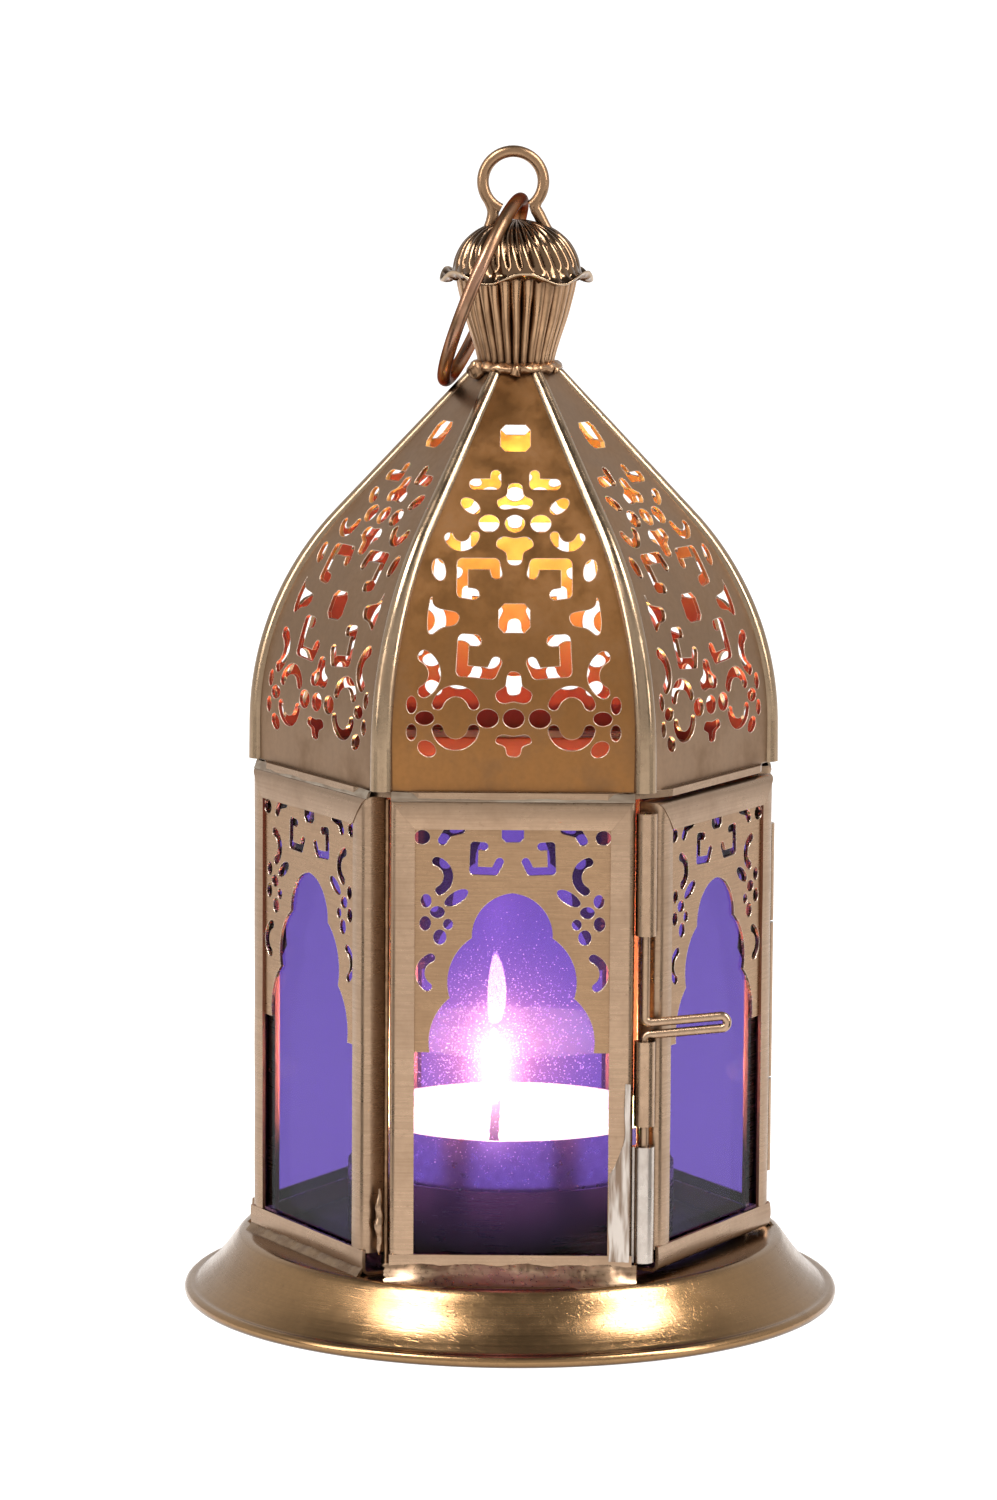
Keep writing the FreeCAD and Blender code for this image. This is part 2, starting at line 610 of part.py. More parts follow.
def make_cap():
    """The domed cap with its flared rim and the lip that seats it on the cup's mouth."""
    tip = CAP_BASE + CAP_RIM_RISE
    rim = [(CAP_RIM_RADIUS, tip + CAP_SHEET), (CAP_RIM_RADIUS, tip), (CUP_TOP_RADIUS + CAP_SHEET, CAP_BASE),
           (CAP_LIP_RADIUS, CAP_BASE), (CAP_LIP_RADIUS, CAP_BASE + CAP_SHEET)]
    inner = cap_outline(CAP_SHEET)
    save("finial_cap", revolved(rim + inner + list(reversed(cap_outline(0.0)))))
    return revolved([(0.0, CAP_BASE), (CAP_DOME_RADIUS, CAP_BASE)] + cap_outline(0.0))


def make_eye(cap_solid):
    """The omega-shaped wire, both legs soldered on the cap."""
    gap = math.radians(EYE_GAP_ANGLE)
    neck_x = EYE_RADIUS * math.sin(gap)
    neck_z = EYE_Z - EYE_RADIUS * math.cos(gap)
    left_neck = V(EYE_LEAN - neck_x, 0, neck_z)
    right_neck = V(EYE_LEAN + neck_x, 0, neck_z)
    left_foot = V(EYE_LEAN - EYE_LEG_SPREAD, 0, neck_z - EYE_LEG_DROP)
    right_foot = V(EYE_LEAN + EYE_LEG_SPREAD, 0, neck_z - EYE_LEG_DROP)
    loop = Part.Arc(left_neck, V(EYE_LEAN, 0, EYE_Z + EYE_RADIUS), right_neck).toShape()
    wires = [Part.Wire([loop])]
    wires += [Part.Wire([Part.LineSegment(neck, foot).toShape()])
              for neck, foot in ((left_neck, left_foot), (right_neck, right_foot))]
    pieces = [swept(wire, EYE_WIRE / 2) for wire in wires]
    knees = [Part.makeSphere(EYE_WIRE / 2, point) for point in (left_neck, right_neck)]
    save("hanging_eye", pieces[0].fuse(pieces[1:] + knees).cut(cap_solid).removeSplitter())


def make_carry_ring():
    """The ring, through the eye, leaning to the left over a rib and turned a little on its upright."""
    slope = math.atan(math.tan(BEND) / math.cos(SIXTH))
    rib_out = RIB_NECK_RADIUS - RIB_SINK * math.cos(slope)
    line_x = NECK_APOTHEM / math.cos(SIXTH) + rib_out / math.cos(slope)
    seat_z = CAP_TOP + RING_SEAT_GAP + RING_WIRE / 2
    reach = RING_WIRE / 2 + RING_REST_GAP
    offset = reach + (RING_SEAT_X + line_x) * math.cos(slope) - (seat_z - NECK_Z) * math.sin(slope)
    lean = slope + math.asin(offset / (2 * RING_RADIUS))
    centre = V(RING_SEAT_X - RING_RADIUS * math.sin(lean), 0, seat_z - RING_RADIUS * math.cos(lean))
    across_ring = V(math.cos(lean), 0, -math.sin(lean))
    ring = Part.makeTorus(RING_RADIUS, RING_WIRE / 2, centre, across_ring)
    ring.rotate(V(RING_SEAT_X, 0, 0), V(0, 0, 1), RING_TURN)
    save("carry_ring", ring)
    print("carry ring: seat", RING_SEAT_X, round(seat_z, 3), "lean", round(math.degrees(lean), 2))


# Tealight
def make_tealight():
    floor = BASE_HEIGHT
    top = floor + TEALIGHT_HEIGHT
    inside = TEALIGHT_RADIUS - TEALIGHT_WALL
    cup = Part.makeCylinder(TEALIGHT_RADIUS, TEALIGHT_HEIGHT, V(0, 0, floor))
    cup = cup.cut(Part.makeCylinder(inside, TEALIGHT_HEIGHT, V(0, 0, floor + TEALIGHT_WALL)))
    tab_z = floor + TEALIGHT_WALL
    tab = Part.makeCylinder(WICK_TAB_RADIUS, WICK_TAB_SHEET, V(WICK_X, 0, tab_z))
    neck = Part.makeCylinder(WICK_TAB_NECK_RADIUS, WICK_TAB_NECK, V(WICK_X, 0, tab_z))
    tab = tab.fuse(neck).removeSplitter()
    level = top - WAX_DROP
    wick_foot = tab_z + WICK_TAB_SHEET
    wick = Part.makeCylinder(WICK_RADIUS, level + WICK_RISE - wick_foot, V(WICK_X, 0, wick_foot))
    wax = Part.makeCylinder(inside - WAX_PLAY, level - tab_z, V(0, 0, tab_z))
    save("tealight_cup", cup)
    save("wick_tab", tab.cut(wick))
    save("tealight_wick", wick)
    save("tealight_wax", wax.cut([tab, wick]))


# Latch
def groove(side_gap, radius, angle):
    """The axis of a tube that lies in the groove at a corner, clear of both walls by the side gap."""
    reach = (HALF_WIDTH + side_gap + radius) / math.sin(SIXTH)
    turn = math.radians(angle)
    return V(reach * math.sin(turn), -reach * math.cos(turn), 0)


def tailed_tube(axis, z0, z1, outer, inner, tail, gap, wall_angle, to_right):
    """A tube with a flat tail that meets the side of one wall's stile."""
    depth = outer + gap
    near, far = (0, depth) if to_right else (-depth, 0)
    lug = turned(box(near, far, -tail / 2, tail / 2, z0, z1), wall_angle)
    lug.translate(axis)
    body = Part.makeCylinder(outer, z1 - z0, axis + V(0, 0, z0)).fuse(lug)
    return body.cut(Part.makeCylinder(inner, z1 - z0, axis + V(0, 0, z0))).removeSplitter()


LATCH_AXIS = groove(LATCH_SIDE_GAP, LATCH_TUBE_RADIUS, 30)
HINGE_AXIS = groove(HINGE_SIDE_GAP, KNUCKLE_RADIUS, 90)


def latch_tube(z0, z1, wall_angle, to_right):
    bore = LATCH_WIRE / 2 + LATCH_BORE_PLAY
    return tailed_tube(LATCH_AXIS, z0, z1, LATCH_TUBE_RADIUS, bore, LATCH_TAIL, LATCH_SIDE_GAP,
                       wall_angle, to_right)


def rounded_path(points, radius):
    """A wire through the points with a tangent arc at every corner."""
    edges = []
    start = points[0]
    for before, corner, after in zip(points, points[1:], points[2:]):
        arriving = (corner - before).normalize()
        leaving = (after - corner).normalize()
        half_turn = arriving.getAngle(leaving) / 2
        tangent = radius * math.tan(half_turn)
        inward = (leaving - arriving).normalize()
        begin, end = corner - arriving * tangent, corner + leaving * tangent
        middle = corner + inward * (radius / math.cos(half_turn) - radius)
        edges += [Part.LineSegment(start, begin).toShape(), Part.Arc(begin, middle, end).toShape()]
        start = end
    edges.append(Part.LineSegment(start, points[-1]).toShape())
    return Part.Wire(edges)


def handle_turn():
    """The handle's direction seen from above, just clear of the door's outer corner."""
    along = LATCH_SIDE_GAP + LATCH_TUBE_RADIUS
    outward = WALL_APOTHEM - LATCH_AXIS.Length * math.cos(SIXTH)
    clear = math.asin((LATCH_WIRE / 2 + HANDLE_CLEARANCE) / math.hypot(along, outward))
    return math.radians(SIDES[DOOR]) - math.atan2(outward, along) - clear


def bolt_path():
    """One bent wire: top leg, out along the handle, round its end, back, and down to the tip."""
    turn, tilt = handle_turn(), math.radians(HANDLE_TILT)
    flat = HANDLE_LENGTH * math.cos(tilt)
    out = V(flat * math.cos(turn), flat * math.sin(turn), HANDLE_LENGTH * math.sin(tilt))
    lower = LATCH_AXIS + V(0, 0, MID_TUBE_TOP + BOLT_REST_GAP + LATCH_WIRE / 2)
    upper = lower + V(0, 0, LATCH_WIRE + BOLT_LEG_GAP)
    top = LATCH_AXIS + V(0, 0, TOP_TUBE_BOTTOM + BOLT_HOLD)
    tip = LATCH_AXIS + V(0, 0, KEEPER_TOP - BOLT_REACH)
    bend = LATCH_WIRE / 2 + BOLT_INNER_BEND
    return rounded_path([top, upper, upper + out, lower + out, lower, tip], bend)


def make_latch():
    save("door_latch_tubes", latch_tube(TOP_TUBE_BOTTOM, TOP_TUBE_TOP, SIDES[DOOR], True),
         latch_tube(MID_TUBE_BOTTOM, MID_TUBE_TOP, SIDES[DOOR], True))
    save("latch_keeper", latch_tube(KEEPER_BOTTOM, KEEPER_TOP, SIDES["front"], False))
    save("latch_bolt", swept(bolt_path(), LATCH_WIRE / 2))


# Hinge
def knuckle(z0, z1, wall_angle, to_right):
    bore = HINGE_PIN / 2 + HINGE_BORE_PLAY
    return tailed_tube(HINGE_AXIS, z0, z1, KNUCKLE_RADIUS, bore, HINGE_TAIL, HINGE_SIDE_GAP,
                       wall_angle, to_right)


def make_hinge():
    door_low = HINGE_MIDDLE - DOOR_KNUCKLE_LENGTH / 2
    door_high = HINGE_MIDDLE + DOOR_KNUCKLE_LENGTH / 2
    low_end = door_low - KNUCKLE_STEP
    high_end = door_high + KNUCKLE_STEP
    pin_top = high_end + FIXED_KNUCKLE_LENGTH
    pin_foot = low_end - FIXED_KNUCKLE_LENGTH
    save("hinge_door_knuckle", knuckle(door_low, door_high, SIDES[DOOR], False))
    save("hinge_fixed_knuckles", knuckle(high_end, pin_top, SIDES["back_right"], True),
         knuckle(pin_foot, low_end, SIDES["back_right"], True))
    pin = Part.makeCylinder(HINGE_PIN / 2, pin_top - pin_foot, HINGE_AXIS + V(0, 0, pin_foot))
    head = Part.makeCylinder(KNUCKLE_RADIUS, PIN_HEAD, HINGE_AXIS + V(0, 0, pin_top))
    save("hinge_pin", pin.fuse(head).removeSplitter())
    print("latch axis", LATCH_AXIS, "hinge axis", HINGE_AXIS)


os.makedirs("parts", exist_ok=True)
make_base()
make_candle_ring()
make_walls()
make_roof()
make_collar()
make_cup()
make_eye(make_cap())
make_carry_ring()
make_tealight()
make_latch()
make_hinge()
print("neck", round(NECK_Z, 3), "cap top", round(CAP_TOP, 3), "eye", round(EYE_Z, 3))
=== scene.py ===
"""Candle lantern: finishes, fine pieces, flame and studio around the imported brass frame.

Metres, +Z up, the front wall faces -Y. Every piece is modelled in place and rides on its body.
"""
import math

import bpy
from mathutils import Matrix, Vector, noise


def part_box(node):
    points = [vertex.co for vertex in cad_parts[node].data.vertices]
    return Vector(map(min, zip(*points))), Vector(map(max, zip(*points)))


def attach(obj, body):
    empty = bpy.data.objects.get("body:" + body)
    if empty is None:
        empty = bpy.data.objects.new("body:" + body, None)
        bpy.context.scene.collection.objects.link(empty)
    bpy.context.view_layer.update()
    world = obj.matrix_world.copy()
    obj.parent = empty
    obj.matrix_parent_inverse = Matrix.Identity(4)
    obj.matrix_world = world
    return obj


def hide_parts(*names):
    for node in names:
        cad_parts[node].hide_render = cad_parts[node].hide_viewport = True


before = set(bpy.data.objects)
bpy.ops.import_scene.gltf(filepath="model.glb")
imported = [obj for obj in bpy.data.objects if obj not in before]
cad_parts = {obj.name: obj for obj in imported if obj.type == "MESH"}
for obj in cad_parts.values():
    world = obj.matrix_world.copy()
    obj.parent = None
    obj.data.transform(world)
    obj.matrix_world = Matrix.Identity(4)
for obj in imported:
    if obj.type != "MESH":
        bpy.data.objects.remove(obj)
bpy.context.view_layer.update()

bl_info = {
    "name": "Candle lantern",
    "version": (1, 0, 0),
    "blender": (4, 5, 0),
    "location": "View3D > Sidebar > Lantern",
    "description": "Finishes and fine pieces of a pierced brass lantern with violet glass",
    "category": "Object",
}

MM = 0.001
SIDE_ANGLES = {"front": 0, "door": 60, "back_right": 120, "back": 180, "back_left": 240, "left": 300}
ROOF_ANGLES = {side.replace("door", "right"): angle for side, angle in SIDE_ANGLES.items()}

# Camera found from the base rim, the wall edges and the finial of the photograph
IMAGE_HEIGHT = 1500
FOCAL_PIXELS = 5823.6
CAMERA_PLACE = (0.0, -733.53 * MM, 175.32 * MM)
CAMERA_YAW = -0.0026
CAMERA_PITCH = 0.1423
CAMERA_ROLL = 0.0061
CAMERA_NEAR = 0.01
SENSOR = 36.0

# Places on the frame, in millimetres
WALL_APOTHEM = 29.8
WALL_FOOT = 8.2
WALL_TOP = 68.2
FLAME_X = -2.3


def colour(name, description, default):
    """A colour that a user may change."""
    return bpy.props.FloatVectorProperty(name=name, description=description, subtype="COLOR", size=3,
                                         min=0.0, max=1.0, default=default)


class LanternFinish(bpy.types.PropertyGroup):
    """Colours and strengths of the lantern's finishes."""
    wall_brass: colour("Wall brass", "Brushed brass of the wall frames", (0.36, 0.24, 0.156))
    fret_brass: colour("Fret brass", "Yellower brass of the pierced frets", (0.35, 0.214, 0.12))
    roof_brass: colour("Roof brass", "Brown satin brass of the roof's front panel", (0.275, 0.125, 0.042))
    side_brass: colour("Roof side brass", "Greyer brass of the roof's other panels", (0.245, 0.146, 0.080))
    rib_brass: colour("Rib brass", "Polished brass of the roof's ribs", (0.37, 0.26, 0.165))
    finial_brass: colour("Finial brass", "Brown brass of the finial", (0.36, 0.215, 0.12))
    base_brass: colour("Base brass", "Spun brass of the base", (0.31, 0.182, 0.085))
    # Cut edges: bright metal, partly bare brass and partly a painted highlight where the edges catch the
    # flame
    cut_edge_and_sheen: colour("Cut edge", "Bright metal where the frets are pierced", (0.80, 0.66, 0.54))
    tarnish: colour("Tarnish", "Darker, browner patches", (0.15, 0.085, 0.045))
    # Grime and painted shade: the dark colour laid in corners and seams stands partly for dirt, partly for
    # shade
    grime_and_shade: colour("Grime", "What gathers in corners and seams", (0.05, 0.03, 0.02))
    solder: colour("Solder", "Grey solder beside the keeper", (0.53, 0.465, 0.41))
    foot_solder: colour("Foot solder", "Brown solder at the front wall's foot", (0.46, 0.31, 0.20))
    # Side solder: real solder whose dark colour is partly a painted shade at the walls' feet
    side_solder_and_shade: colour("Side solder", "Dark solder at the other walls' feet", (0.26, 0.17, 0.10))
    top_solder: colour("Top solder", "Solder at the walls' top", (0.36, 0.29, 0.22))
    copper: colour("Copper wire", "Carry ring", (0.37, 0.195, 0.125))
    glass: colour("Glass", "Light that one pane lets through", (0.30, 0.22, 0.54))
    # Painted candlelight and shade: these three inner colours stand in for the flame's light on the inner
    # faces
    painted_glow_low: colour("Inner low", "Dull inner faces near the glass", (0.34, 0.07, 0.045))
    painted_glow_high: colour("Inner high", "Dull inner faces under the neck", (0.95, 0.62, 0.17))
    painted_glow_frame: colour("Inner frame", "Dull inner faces of the wall frames", (0.34, 0.16, 0.10))
    # A darker colour over the base's floor about the lantern's axis, inside the walls
    dark_middle: colour("Soot", "Darkened floor round the tealight", (0.06, 0.048, 0.046))
    # Painted glow: the front pane shines by itself round the flame, with painted glints on its dust
    painted_haze: colour("Haze", "Glow of the dusty pane before the flame", (1.0, 0.33, 0.45))
    painted_far_haze: colour("Far haze", "Glow of the dusty pane further from the flame", (0.62, 0.27, 0.90))
    painted_bloom: colour("Bloom", "Glow of the pane right before the flame", (1.0, 0.72, 0.86))
    painted_dust_glint: colour("Sparkle", "Grains of dust that catch the flame", (1.0, 0.46, 0.88))
    wax: colour("Wax", "Wax of the tealight", (0.93, 0.88, 0.80))
    wax_drift: colour("Wax drift", "Yellower clouds in the wax", (0.95, 0.80, 0.66))
    # Painted glow: the wax shines by itself, standing in for the flame's light in it
    painted_wax_glow: colour("Wax glow", "Light that the wax scatters round the flame", (1.0, 0.93, 0.27))
    foil: colour("Foil", "Pressed aluminium of the tealight's cup", (0.78, 0.78, 0.8))
    tab: colour("Wick tab", "Tinned steel of the wick's foot", (0.6, 0.6, 0.62))
    char: colour("Char", "Burnt cotton of the wick", (0.03, 0.018, 0.015))
    flame: colour("Flame foot", "Light of the candle near the wick", (1.0, 0.58, 0.26))
    flame_tip: colour("Flame tip", "Light of the candle near its tip", (1.0, 0.72, 0.40))
    flame_strength: bpy.props.FloatProperty(
        name="Flame strength", description="How brightly the flame shines", min=0.0, default=1300.0)


# Ramps are the factor at which a change starts and ends, then what it starts and ends at
OPEN_SKY = (0.25, 0.85, 1.0, 0.0)
EDGE_TURN = (0.97, 0.80)


class Shader:
    """A node tree, of a material or of the world, with short calls to add nodes and join them."""

    def __init__(self, name, world=False):
        holder = bpy.data.worlds if world else bpy.data.materials
        self.material = holder.new(name)
        self.material.use_nodes = True
        self.tree = self.material.node_tree
        self.surface = self.tree.nodes["Background" if world else "Principled BSDF"]

    def node(self, kind, inputs=(), **settings):
        """Adds a node, sets its options and fills or joins its inputs."""
        made = self.tree.nodes.new("ShaderNode" + kind)
        for option, value in settings.items():
            setattr(made, option, value)
        for socket, value in dict(inputs).items():
            self.feed(made.inputs[socket], value)
        return made

    def feed(self, socket, value):
        """Joins an output to a socket, or sets the socket to a plain value."""
        if isinstance(value, bpy.types.NodeSocket):
            self.tree.links.new(value, socket)
        else:
            socket.default_value = value

    def set(self, **values):
        """Sets inputs of the surface, by name with underscores for spaces."""
        for name, value in values.items():
            self.feed(self.surface.inputs[name.replace("_", " ")], value)

    def place(self, scale=(1, 1, 1), turn=0.0):
        """Object coordinates turned about the lantern's axis, then stretched."""
        coordinates = self.node("TexCoord").outputs["Object"]
        turned = self.node("Mapping", {"Vector": coordinates, "Rotation": (0, 0, math.radians(turn))})
        return self.node("Mapping", {"Vector": turned.outputs["Vector"], "Scale": scale}).outputs["Vector"]

    def vector(self, operation, first, second=(0.0, 0.0, 0.0), output="Value"):
        return self.node("VectorMath", {0: first, 1: second}, operation=operation).outputs[output]

    def height(self):
        """How high the surface lies, in metres."""
        return self.node("SeparateXYZ", {0: self.place()}).outputs["Z"]

    def from_axis(self):
        """The way out from the lantern's axis to the surface, in metres."""
        return self.vector("MULTIPLY", self.place(), (1, 1, 0), "Vector")

    def round_place(self, scale):
        """Distance from the axis and height, so that a pattern runs round the piece."""
        radius = self.vector("LENGTH", self.from_axis())
        joined = self.node("CombineXYZ", {"X": radius, "Y": self.height()})
        return self.node("Mapping", {"Vector": joined.outputs["Vector"], "Scale": scale}).outputs["Vector"]

    def noise(self, vector, scale=1.0, detail=2.0, roughness=0.5):
        made = self.node("TexNoise", {"Vector": vector, "Scale": scale, "Detail": detail,
                                      "Roughness": roughness})
        return made.outputs["Fac"]

    def ramp(self, factor, low, high, start=0.0, end=1.0):
        """A factor stretched from one range to another, kept within it."""
        made = self.node("MapRange", {"Value": factor, "From Min": low, "From Max": high,
                                      "To Min": start, "To Max": end})
        return made.outputs["Result"]

    def mix(self, factor, first, second):
        made = self.node("Mix", data_type="RGBA")
        self.feed(made.inputs["Factor"], factor)
        self.feed(made.inputs[6], first)
        self.feed(made.inputs[7], second)
        return made.outputs[2]

    def math(self, operation, first, second=0.0):
        made = self.node("Math", operation=operation)
        self.feed(made.inputs[0], first)
        self.feed(made.inputs[1], second)
        return made.outputs["Value"]

    def plus(self, first, second, share=1.0):
        """One value and a share of another."""
        return self.math("ADD", first, self.math("MULTIPLY", second, share))

    def distance(self, point, stretch=(1.0, 1.0, 1.0)):
        """How far the surface lies from a point, in metres, along stretched axes."""
        goal = [part * along for part, along in zip(point, stretch)]
        return self.vector("DISTANCE", self.place(stretch), goal)

    def crevice(self, reach):
        """Rises from 0 on open faces towards 1 in corners and seams, where grime and painted shade are laid.
        """
        open_sky = self.node("AmbientOcclusion", {"Distance": reach}, samples=4).outputs["AO"]
        return self.ramp(open_sky, *OPEN_SKY)

    def inside(self):
        """1 on the faces that look in towards the lantern's axis, 0 on the rest."""
        facing = self.node("TexCoord").outputs["Normal"]
        return self.math("LESS_THAN", self.vector("DOT_PRODUCT", facing, self.from_axis()), 0.0)

    def cut_edge_and_sheen(self, reach):
        """The softened normal of a pierced sheet's edges, and 1 close to those edges, where the painted
        highlight goes.
        """
        soft = self.node("Bevel", {"Radius": reach}, samples=4).outputs["Normal"]
        straight = self.node("NewGeometry").outputs["Normal"]
        return soft, self.ramp(self.vector("DOT_PRODUCT", soft, straight), *EDGE_TURN)

    def bump(self, height, strength, distance, under=None):
        made = self.node("Bump", {"Height": height, "Strength": strength, "Distance": distance})
        if under:
            self.feed(made.inputs["Normal"], under)
        return made.outputs["Normal"]


BLACK = (0.0, 0.0, 0.0)
WHITE = (1.0, 1.0, 1.0)


def rgba(shade):
    return (shade[0], shade[1], shade[2], 1.0)


def scaled(shade, factor):
    """A colour made lighter or darker."""
    return [part * factor for part in shade]


def finish():
    """The finishes that the user may change."""
    return bpy.context.scene.lantern_finish


def around(roughness, spread):
    """The lowest and the highest roughness of an uneven shine."""
    return [roughness + step for step in spread]


# Brass
CLOUD_SCALE = 42.0
CLOUDS = (0.35, 0.7, 0.0, 0.35)
CLOUD_DIM = 0.68
PATCH_SCALE = 130.0
PATCHES = (0.52, 0.74, 0.0)
DULL_PATCHES = (0.45, 0.7, 0.0)
PATCH_DULL = 0.3
BRUSH_LINES = (0.42, 0.72, 0.0, 0.26)
SHINY_LINES = (0.3, 0.7)
SHINE_SPREAD = (-0.04, 0.05)
LINE_HEIGHT = 0.03
SPECK_SCALE = 1600.0
GRAIN = (0.38, 0.62, 0.0, 0.22)
SPECKS = (0.68, 0.8, 0.0, 0.35)
SCRATCH_SCALE = (160.0, 2600.0, 2600.0)
SCRATCH_TURN = 35.0
SCRATCHES = (0.58, 0.68, 0.0, 0.6)
GRIME_AND_SHADE_REACH = 1.4
CUT_EDGE = 0.16
RIM_HIGHLIGHT_FADE = 0.25
# Painted candlelight and shade on inner faces: heights, in millimetres, of its turn from the low colour to
# the high one
INNER_LOW = 74.0
INNER_HIGH = 106.0
INNER_DULL = 0.25
FRAME_LIFT = -32.0
DARK_MIDDLE_EDGE = 30.0
DARK_MIDDLE_FADE = 2.5
DARK_MIDDLE_DULL = 0.2


def brass(name, shade, turn=0.0, brush=(60.0, 400.0, 3200.0), round_lines=None, roughness=0.27, tarnish=0.4,
          line_depth=0.12, grime_and_shade_share=0.75, pierced=False, inner=None, lift=0.0, darkened_middle=False, rim_highlight=None,
          scratched=False):
    """Satin brass with brush lines, brown clouds, fine specks, and grime with painted shade in its corners.

    A pierced sheet has bright cut edges, partly bare metal and partly a painted highlight. Inner is a pair
    of colours, low and high, of painted candlelight and shade on the dull inner faces, and lift moves them
    up. A piece with a darkened middle is dark about the lantern's axis, one given a rim highlight has a
    painted highlight past that radius, and a scratched one has marks across its lines.
    """
    shader = Shader(name)
    along = shader.round_place(round_lines) if round_lines else shader.place(brush, turn)
    lines = shader.noise(along, detail=3.0, roughness=0.6)
    clouds = shader.noise(shader.place(turn=turn), scale=CLOUD_SCALE, detail=3.0)
    patches = shader.noise(shader.place(turn=turn), scale=PATCH_SCALE, detail=5.0, roughness=0.65)
    specks = shader.noise(shader.place(), scale=SPECK_SCALE)
    dark = rgba(finish().tarnish)
    dim = rgba(scaled(shade, CLOUD_DIM))
    tone = shader.mix(shader.ramp(clouds, *CLOUDS), rgba(shade), dim)
    tone = shader.mix(shader.ramp(patches, *PATCHES, tarnish), tone, dark)
    tone = shader.mix(shader.ramp(lines, *BRUSH_LINES), tone, dark)
    tone = shader.mix(shader.ramp(specks, *GRAIN), tone, dim)
    tone = shader.mix(shader.ramp(specks, *SPECKS), tone, dark)
    shine = shader.math("ADD", shader.ramp(lines, *SHINY_LINES, *around(roughness, SHINE_SPREAD)),
                        shader.ramp(patches, *DULL_PATCHES, PATCH_DULL * tarnish))
    # Painted candlelight and shade on the inner faces, from the low colour to the high one by height
    if inner:
        inside = shader.inside()
        warm = shader.ramp(shader.height(), (INNER_LOW + lift) * MM, (INNER_HIGH + lift) * MM)
        tone = shader.mix(inside, tone, shader.mix(warm, rgba(inner[0]), rgba(inner[1])))
        shine = shader.plus(shine, inside, INNER_DULL)
    # Darker and duller about the lantern's axis
    if darkened_middle:
        reach = shader.distance((0.0, 0.0, 0.0))
        near = shader.ramp(reach, DARK_MIDDLE_EDGE * MM, (DARK_MIDDLE_EDGE + DARK_MIDDLE_FADE) * MM, 1.0, 0.0)
        tone = shader.mix(near, tone, rgba(finish().dark_middle))
        shine = shader.plus(shine, near, DARK_MIDDLE_DULL)
    # Grime and painted shade: corners and seams are darkened where the AO mask finds them
    corners = shader.math("MULTIPLY", shader.crevice(GRIME_AND_SHADE_REACH * MM), grime_and_shade_share)
    tone = shader.mix(corners, tone, rgba(finish().grime_and_shade))
    # Painted highlight: past a radius the colour turns to the bright rib brass
    if rim_highlight:
        radius = shader.vector("LENGTH", shader.from_axis())
        bright = shader.ramp(radius, (rim_highlight - RIM_HIGHLIGHT_FADE) * MM, rim_highlight * MM)
        tone = shader.mix(bright, tone, rgba(finish().rib_brass))
    soft = None
    if pierced:
        # Bright cut edges: partly bare metal, partly a painted highlight
        soft, edge = shader.cut_edge_and_sheen(CUT_EDGE * MM)
        tone = shader.mix(edge, tone, rgba(finish().cut_edge_and_sheen))
    shader.set(Base_Color=tone, Metallic=1.0, Roughness=shine)
    relief = lines
    if scratched:
        marks = shader.noise(shader.place(SCRATCH_SCALE, SCRATCH_TURN))
        relief = shader.math("ADD", lines, shader.ramp(marks, *SCRATCHES))
    shader.set(Normal=shader.bump(relief, line_depth, LINE_HEIGHT * MM, soft))
    return shader.material


# Solder
STAIN = (0.60, 0.40, 0.0)
SOLDER_GRAIN = 1900.0
SOLDER_SHINE = (0.35, 0.65)
SOLDER_SPREAD = (-0.03, 0.05)
SOLDER_GRIME_AND_SHADE = 0.7
SOLDER_REACH = 1.0
GRAIN_RELIEF = 0.06
CLOT_DEPTH = 0.25
CLOT_HEIGHT = 0.05


def solder_grey(name, shade, roughness, streak=(120.0, 500.0, 900.0), brown=0.5):
    """Dull solder, streaked with the brown of its flux."""
    shader = Shader(name)
    clots = shader.noise(shader.place(streak), detail=3.0, roughness=0.55)
    grains = shader.noise(shader.place(), scale=SOLDER_GRAIN)
    tone = shader.mix(shader.ramp(clots, *STAIN, brown), rgba(shade), rgba(finish().tarnish))
    # Grime and painted shade: the solder is darkened in its corners and seams
    corners = shader.math("MULTIPLY", shader.crevice(SOLDER_REACH * MM), SOLDER_GRIME_AND_SHADE)
    shader.set(Base_Color=shader.mix(corners, tone, rgba(finish().grime_and_shade)), Metallic=1.0)
    shader.set(Roughness=shader.ramp(grains, *SOLDER_SHINE, *around(roughness, SOLDER_SPREAD)))
    relief = shader.plus(clots, grains, GRAIN_RELIEF)
    shader.set(Normal=shader.bump(relief, CLOT_DEPTH, CLOT_HEIGHT * MM))
    return shader.material


# Copper
BAND_SCALE = 160.0
BROWN_BANDS = (0.40, 0.66)
DULL_BANDS = (0.35, 0.7, 0.22, 0.42)
STREAK_SCALE = (900, 900, 250)
BRIGHT_STREAKS = (0.5, 0.75, 0.0, 0.3)
STREAK_DEPTH = 0.2
COPPER_REACH = 2.5
COPPER_TINT = (0.25, 0.14, 0.10)


def copper_brown():
    """Bare copper wire, browned, with brighter worn lengths."""
    shader = Shader("copper_wire")
    bands = shader.noise(shader.place(), scale=BAND_SCALE, detail=4.0)
    streaks = shader.noise(shader.place(STREAK_SCALE))
    tone = shader.mix(shader.ramp(bands, *BROWN_BANDS), rgba(finish().copper), rgba(finish().tarnish))
    tone = shader.mix(shader.ramp(streaks, *BRIGHT_STREAKS), tone, rgba(finish().rib_brass))
    # Grime and painted shade: the wire is darkened where it runs close to other pieces
    tone = shader.mix(shader.crevice(COPPER_REACH * MM), tone, rgba(finish().grime_and_shade))
    shader.set(Base_Color=tone, Metallic=1.0, Specular_Tint=rgba(COPPER_TINT))
    shader.set(Roughness=shader.ramp(bands, *DULL_BANDS))
    shader.set(Normal=shader.bump(streaks, STREAK_DEPTH, LINE_HEIGHT * MM))
    return shader.material


